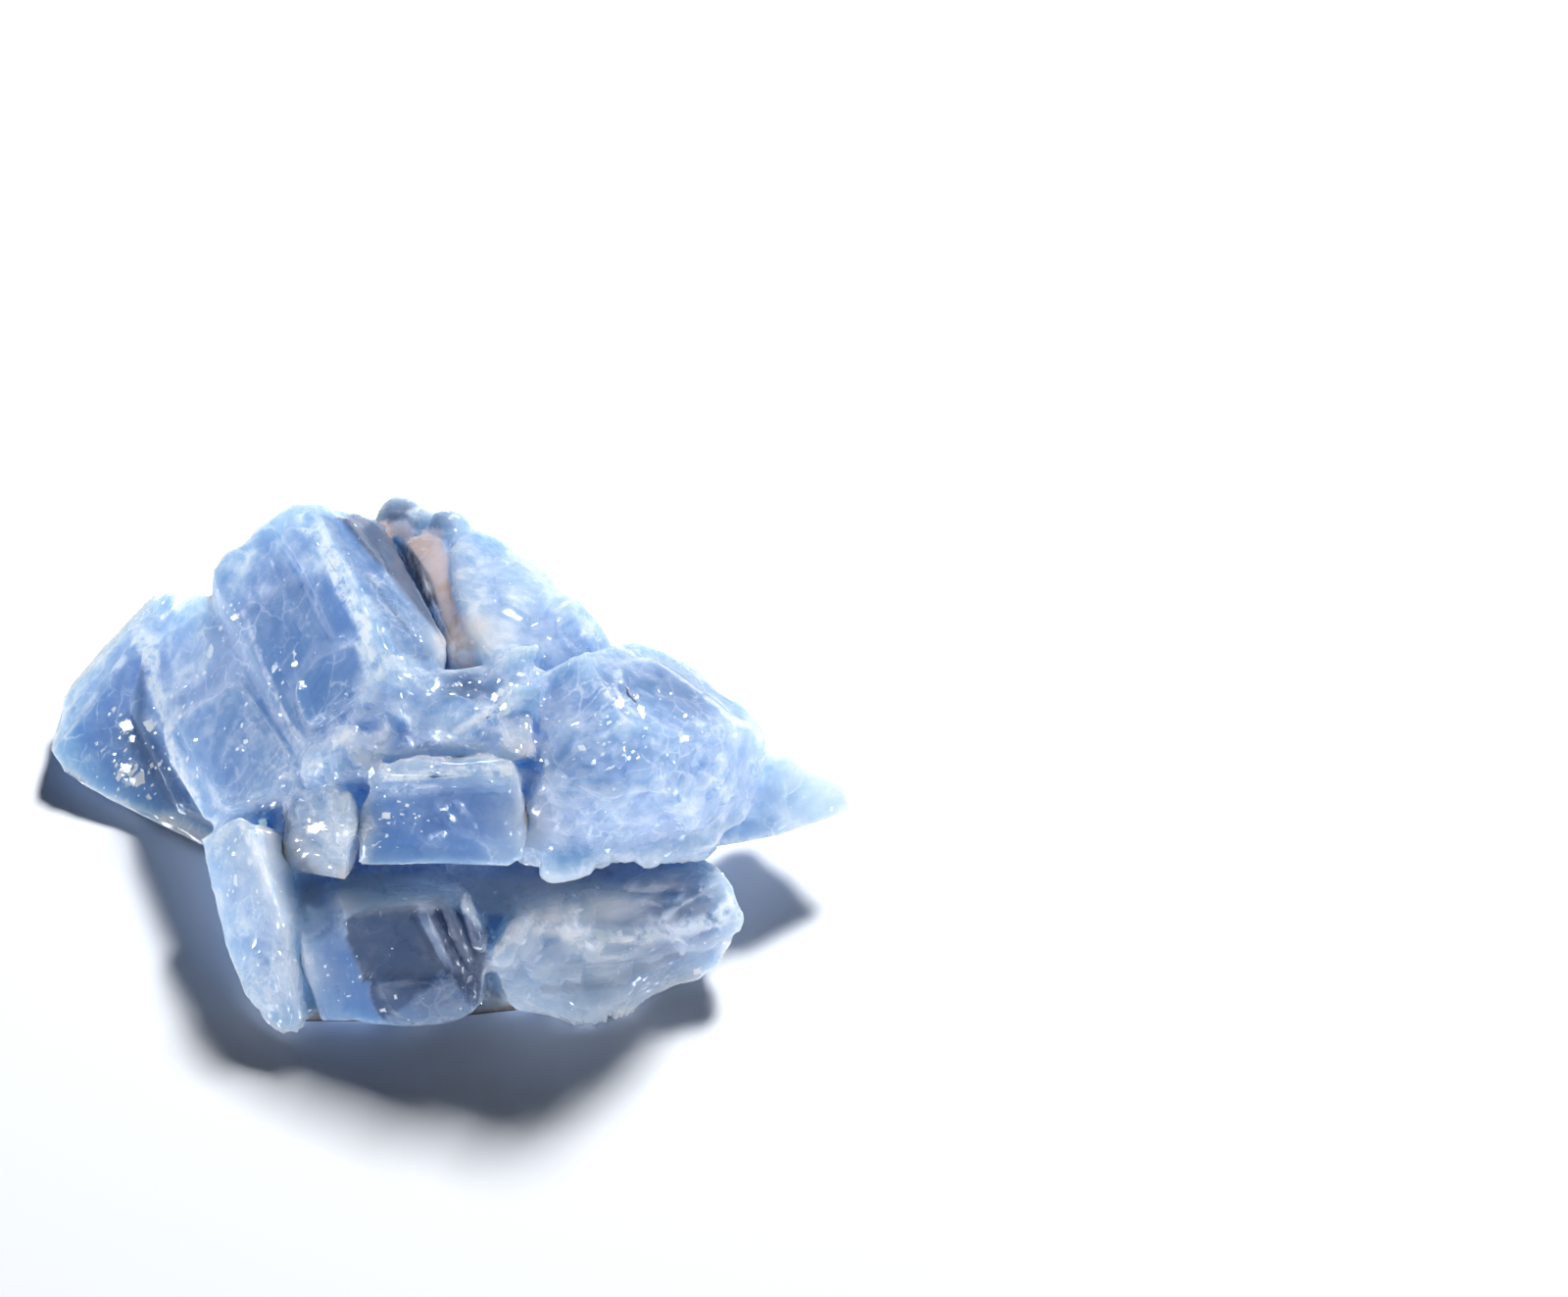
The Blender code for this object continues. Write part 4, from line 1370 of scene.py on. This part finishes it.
    def cracked_blocks(self, tree: bpy.types.NodeTree, lattice: Source) -> tuple[Source, Source]:
        """Rhomb-shaped blocks, each a little turned against the next.

        Args:
            tree: The material's node tree.
            lattice: The distances along the cleavage normals, in mm.

        Returns:
            A random value for each block, and the height that turns its face.
        """
        settings = {"distance": "CHEBYCHEV", "Scale": 1 / self.block_mm, "Randomness": 0.85}
        blocks = add_node(tree, "TexVoronoi", settings, Vector=lattice)
        chance, middle = blocks.outputs["Color"], blocks.outputs["Position"]
        local = add_node(tree, "VectorMath", {"operation": "SUBTRACT"}, in_0=lattice, in_1=middle)
        turn = add_node(tree, "VectorMath", {"operation": "SUBTRACT", 1: (0.5, 0.5, 0.5)}, in_0=chance)
        height = add_node(tree, "VectorMath", {"operation": "DOT_PRODUCT"}, in_0=local, in_1=turn)
        return add_node(tree, "SeparateColor", Color=chance), height.outputs["Value"]

    def crackle(self, tree: bpy.types.NodeTree, lattice: Source, swarm: Source) -> bpy.types.Node:
        """Thin white cracks between small cells of the crystal, which come and go.

        Args:
            tree: The material's node tree.
            lattice: The distances along the cleavage normals, in mm.
            swarm: The noise that says where the cracks show.

        Returns:
            A value from 0 to 1, high in a crack.
        """
        bend = add_node(tree, "TexNoise", {"Scale": 1 / self.crack_mm, "Detail": 3.0}, Vector=lattice)
        settings = {"operation": "MULTIPLY_ADD", 1: (0.8 * self.crack_mm,) * 3}
        bent = add_node(tree, "VectorMath", settings, in_0=bend.outputs["Color"], in_2=lattice)
        settings = {"feature": "DISTANCE_TO_EDGE", "Scale": 1 / self.crack_mm, "Randomness": 1.0}
        cells = add_node(tree, "TexVoronoi", settings, Vector=bent)
        line = add_node(tree, "MapRange", {"From Min": 0.07, "From Max": 0.0}, Value=cells)
        often = add_node(tree, "MapRange", {"From Min": 0.48, "From Max": 0.62}, Value=swarm)
        return add_node(tree, "Math", {"operation": "MULTIPLY"}, in_0=line, in_1=often)

    def flecks(
        self, tree: bpy.types.NodeTree, lattice: Source, glint: Source, apart_mm: float, most: float
    ) -> bpy.types.Node:
        """Small white flecks, in swarms.

        Args:
            tree: The material's node tree.
            lattice: The distances along the cleavage normals, in mm.
            glint: The tone that is high where flecks lie close and large, as painted highlights.
            apart_mm: How far apart the flecks lie.
            most: The largest fleck's radius over apart_mm.

        Returns:
            A value that is above 0 in a fleck.
        """
        swarm = add_node(tree, "TexNoise", {"Scale": 1 / self.swarm_mm, "Detail": 6.0}, Vector=lattice)
        settings = {"operation": "MULTIPLY_ADD", 1: (2.5 * apart_mm,) * 3}
        bent = add_node(tree, "VectorMath", settings, in_0=swarm.outputs["Color"], in_2=lattice)
        settings = {"distance": "CHEBYCHEV", "Scale": 1 / apart_mm, "Randomness": 1.0}
        spots = add_node(tree, "TexVoronoi", settings, Vector=bent)
        size = add_node(tree, "MapRange", {"From Min": 0.42, "From Max": 0.72, "To Max": 0.7 * most}, Value=swarm)
        more = add_node(tree, "Math", {"operation": "MULTIPLY_ADD", 1: most}, in_0=glint, in_2=size)
        chance = add_node(tree, "SeparateColor", Color=spots.outputs["Color"]).outputs[1]
        radius = add_node(tree, "Math", {"operation": "MULTIPLY"}, in_0=more, in_1=chance)
        return add_node(tree, "Math", {"operation": "SUBTRACT"}, in_0=radius, in_1=spots.outputs["Distance"])

    def paint(
        self,
        tree: bpy.types.NodeTree,
        place: Source,
        lattice: Source,
        clouds: Source,
        block: Source,
        tones: dict[Tone, Source],
    ) -> bpy.types.NodeSocket:
        """Works out the stone's colour, from the clear crystal to the frost on its edges.

        Args:
            tree: The material's node tree.
            place: The place in the stone, in m.
            lattice: The distances along the cleavage normals, in mm.
            clouds: The clouds' noise.
            block: A random value for each cracked block.
            tones: The mesh's tones.

        Returns:
            The colour.
        """
        settings = {"Scale": 1 / (self.mottle_mm * MM), "Detail": 5.0, "Roughness": 0.6}
        mottle = add_node(tree, "TexNoise", settings, Vector=place)
        colour = self.lay(tree, self.blue, self.pale, clouds, 0.45, 0.68, 0.75)
        colour = self.lay(tree, colour, self.deep, block, 0.5, 1.0, 0.3)
        colour = self.lay(tree, colour, self.pale, tones[Tone.CLOUD])
        colour = self.lay(tree, colour, self.deep, mottle, 0.5, 0.3, 0.4)
        window = self.lay(tree, self.deep, self.blue, clouds, 0.5, 0.7, 0.5)
        for family, most in enumerate((0.3, 0.4, 0.3)):
            veil = self.veils(tree, lattice, family)
            colour = self.lay(tree, colour, self.pale, veil, 0.5, 0.72, most)
            window = self.lay(tree, window, self.blue, veil, 0.5, 0.72, 0.6 * most)
        colour = self.lay(tree, colour, self.white, mottle, 0.5, 0.72, 0.7)
        cracks = self.crackle(tree, lattice, clouds)
        colour = self.lay(tree, colour, self.white, cracks, most=0.7)
        window = self.lay(tree, window, self.white, cracks, most=0.4)
        colour = self.lay(tree, colour, window, tones[Tone.DEEP])
        colour = self.lay(tree, colour, self.pale, tones[Tone.HOLLOW], most=0.25)
        stain = self.lay(tree, self.tan, self.rust, mottle, 0.4, 0.65)
        # The slate tone lays its grey-blue and painted shade, the dirt tone grey-brown and painted shade, and the ash
        # tone grey and painted light.
        for tone, over in ((Tone.SLATE, self.slate), (Tone.ASH, self.ash), (Tone.DIRT, self.dirt), (Tone.TAN, stain)):
            colour = self.lay(tree, colour, over, tones[tone])
        # Where the glint tone is high, the flecks are painted highlights.
        for apart, most in ((self.fleck_mm, 0.42), (self.dust_mm, 0.36)):
            fleck = self.flecks(tree, lattice, tones[Tone.GLINT], apart, most)
            colour = self.lay(tree, colour, self.white, fleck, 0.0, 0.05)
        settings = {"Scale": 1 / (self.gap_mm * MM), "Detail": 5.0, "Roughness": 0.65}
        gaps = add_node(tree, "TexNoise", settings, Vector=place)
        whole = add_node(tree, "MapRange", {"From Min": 0.36, "From Max": 0.54}, Value=gaps)
        frost = add_node(tree, "Math", {"operation": "MULTIPLY"}, in_0=tones[Tone.FROST], in_1=whole)
        return self.lay(tree, colour, self.white, frost)

    def material(self) -> bpy.types.Material:
        """Makes the material.

        Returns:
            The material, ready for the stone.
        """
        made = bpy.data.materials.new("blue_calcite_cleaved")
        made.use_nodes = True
        tree = made.node_tree
        shader = tree.nodes["Principled BSDF"]
        place = add_node(tree, "TexCoord").outputs["Object"]
        lattice = add_node(tree, "Attribute", {"attribute_name": "lattice"}).outputs["Vector"]
        # Melting and bulges only give the stone its shape.
        tones = {
            tone: add_node(tree, "Attribute", {"attribute_name": tone.value}).outputs["Fac"]
            for tone in Tone
            if tone not in (Tone.MELT, Tone.BULGE)
        }
        settings = {"Scale": 1 / (self.cloud_mm * MM), "Detail": 7.0, "Roughness": 0.68}
        clouds = add_node(tree, "TexNoise", settings, Vector=place)
        block, turned = self.cracked_blocks(tree, lattice)
        colour = self.paint(tree, place, lattice, clouds, block, tones)
        # Crumbled and cloudy places are dull. Glints are clean cleavage.
        worn = add_node(tree, "Math", {"operation": "MAXIMUM"}, in_0=tones[Tone.CRUMBLE], in_1=clouds)
        dull = add_node(tree, "Math", {"operation": "SUBTRACT"}, in_0=worn, in_1=tones[Tone.GLINT])
        clean, crumbled = self.gloss
        rough = add_node(tree, "MapRange", {"From Min": 0.35, "To Min": clean, "To Max": crumbled}, Value=dull)
        # The blocks' turned faces and the finest grit only show in the shine.
        fine = add_node(tree, "TexNoise", {"Scale": 1 / (self.grit_mm * MM), "Detail": 3.0}, Vector=place)
        tilt = add_node(tree, "Bump", {"Strength": 1.0, "Distance": self.turn_mm * MM}, Height=turned)
        settings = {"Strength": 0.5, "Distance": self.grit_depth_mm * MM}
        bump = add_node(tree, "Bump", settings, Height=fine, Normal=tilt)
        for name, source in (("Base Color", colour), ("Roughness", rough.outputs[0]), ("Normal", bump.outputs[0])):
            tree.links.new(source, shader.inputs[name])
        for name, value in {
            "Metallic": 0.0,
            "IOR": self.ior,
            "Specular IOR Level": self.shine,
            "Subsurface Weight": 1.0,
            "Subsurface Scale": self.glow_m,
            "Subsurface Radius": self.glow,
            "Transmission Weight": self.clear,
        }.items():
            shader.inputs[name].default_value = value
        return made


@dataclass
class Studio:
    """A white table under a soft lamp from behind on the right, with two low ones in front.

    Attributes:
        table_m: The table's side.
        paper: The table top's colour.
        paper_roughness: Its roughness.
        paper_shine: Its specular level.
        sky: Strength of the even light from all round.
        sky_colour: Its colour.
    """

    table_m: float = 6.0
    paper: str = "#F7F8FB"
    paper_roughness: float = 0.9
    paper_shine: float = 0.1
    sky: float = 0.01
    sky_colour: str = "#EEF3FF"

    def table(self) -> None:
        """Makes the white table top, which isn't part of the stone."""
        half = self.table_m / 2
        mesh = bpy.data.meshes.new("table_top")
        mesh.from_pydata([(-half, -half, 0), (half, -half, 0), (half, half, 0), (-half, half, 0)], [], [(0, 1, 2, 3)])
        top = bpy.data.objects.new("table_top", mesh)
        bpy.context.scene.collection.objects.link(top)
        # Matt white paper: it catches the stone's shadow and throws light up under it.
        paper = bpy.data.materials.new("white_paper_matt")
        paper.use_nodes = True
        shader = paper.node_tree.nodes["Principled BSDF"]
        shader.inputs["Base Color"].default_value = (*linear_rgb(self.paper), 1)
        shader.inputs["Roughness"].default_value = self.paper_roughness
        shader.inputs["Specular IOR Level"].default_value = self.paper_shine
        mesh.materials.append(paper)

    def light(self, lamp: Lamp) -> None:
        """Makes a flat lamp that points at the stone.

        Args:
            lamp: Which lamp.
        """
        direction, away, wide, high, power, colour = lamp.value
        name = f"{lamp.name.lower()}_lamp"
        data = bpy.data.lights.new(name, "AREA")
        data.shape = "RECTANGLE"
        data.size = wide
        data.size_y = high
        data.energy = power
        data.color = linear_rgb(colour)
        toward = Vector(direction).normalized()
        made = bpy.data.objects.new(name, data)
        made.location = toward * away
        made.rotation_euler = toward.to_track_quat("Z", "Y").to_euler()
        bpy.context.scene.collection.objects.link(made)

    def build(self) -> None:
        """Makes the table, the lamps and the even light."""
        self.table()
        for lamp in Lamp:
            self.light(lamp)
        world = bpy.data.worlds.new("even_light")
        world.use_nodes = True
        background = world.node_tree.nodes["Background"]
        background.inputs[0].default_value = (*linear_rgb(self.sky_colour), 1)
        background.inputs[1].default_value = self.sky
        bpy.context.scene.world = world
        bpy.context.scene.view_settings.view_transform = "Standard"


def main() -> None:
    """Builds the camera, the stone and the studio."""
    logging.basicConfig(level=logging.INFO, format="%(message)s")
    Eye.camera()
    stone = CalciteStone().build()
    stone.data.materials.append(BlueCalcite().material())
    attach(stone, BODY)
    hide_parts(NODE)
    log.info("%s: %d triangles, rides on %s", stone.name, len(stone.data.polygons), BODY)
    Studio().build()
    log.info("table top and %d lamps", len(Lamp))


if __name__ == "__main__":
    main()
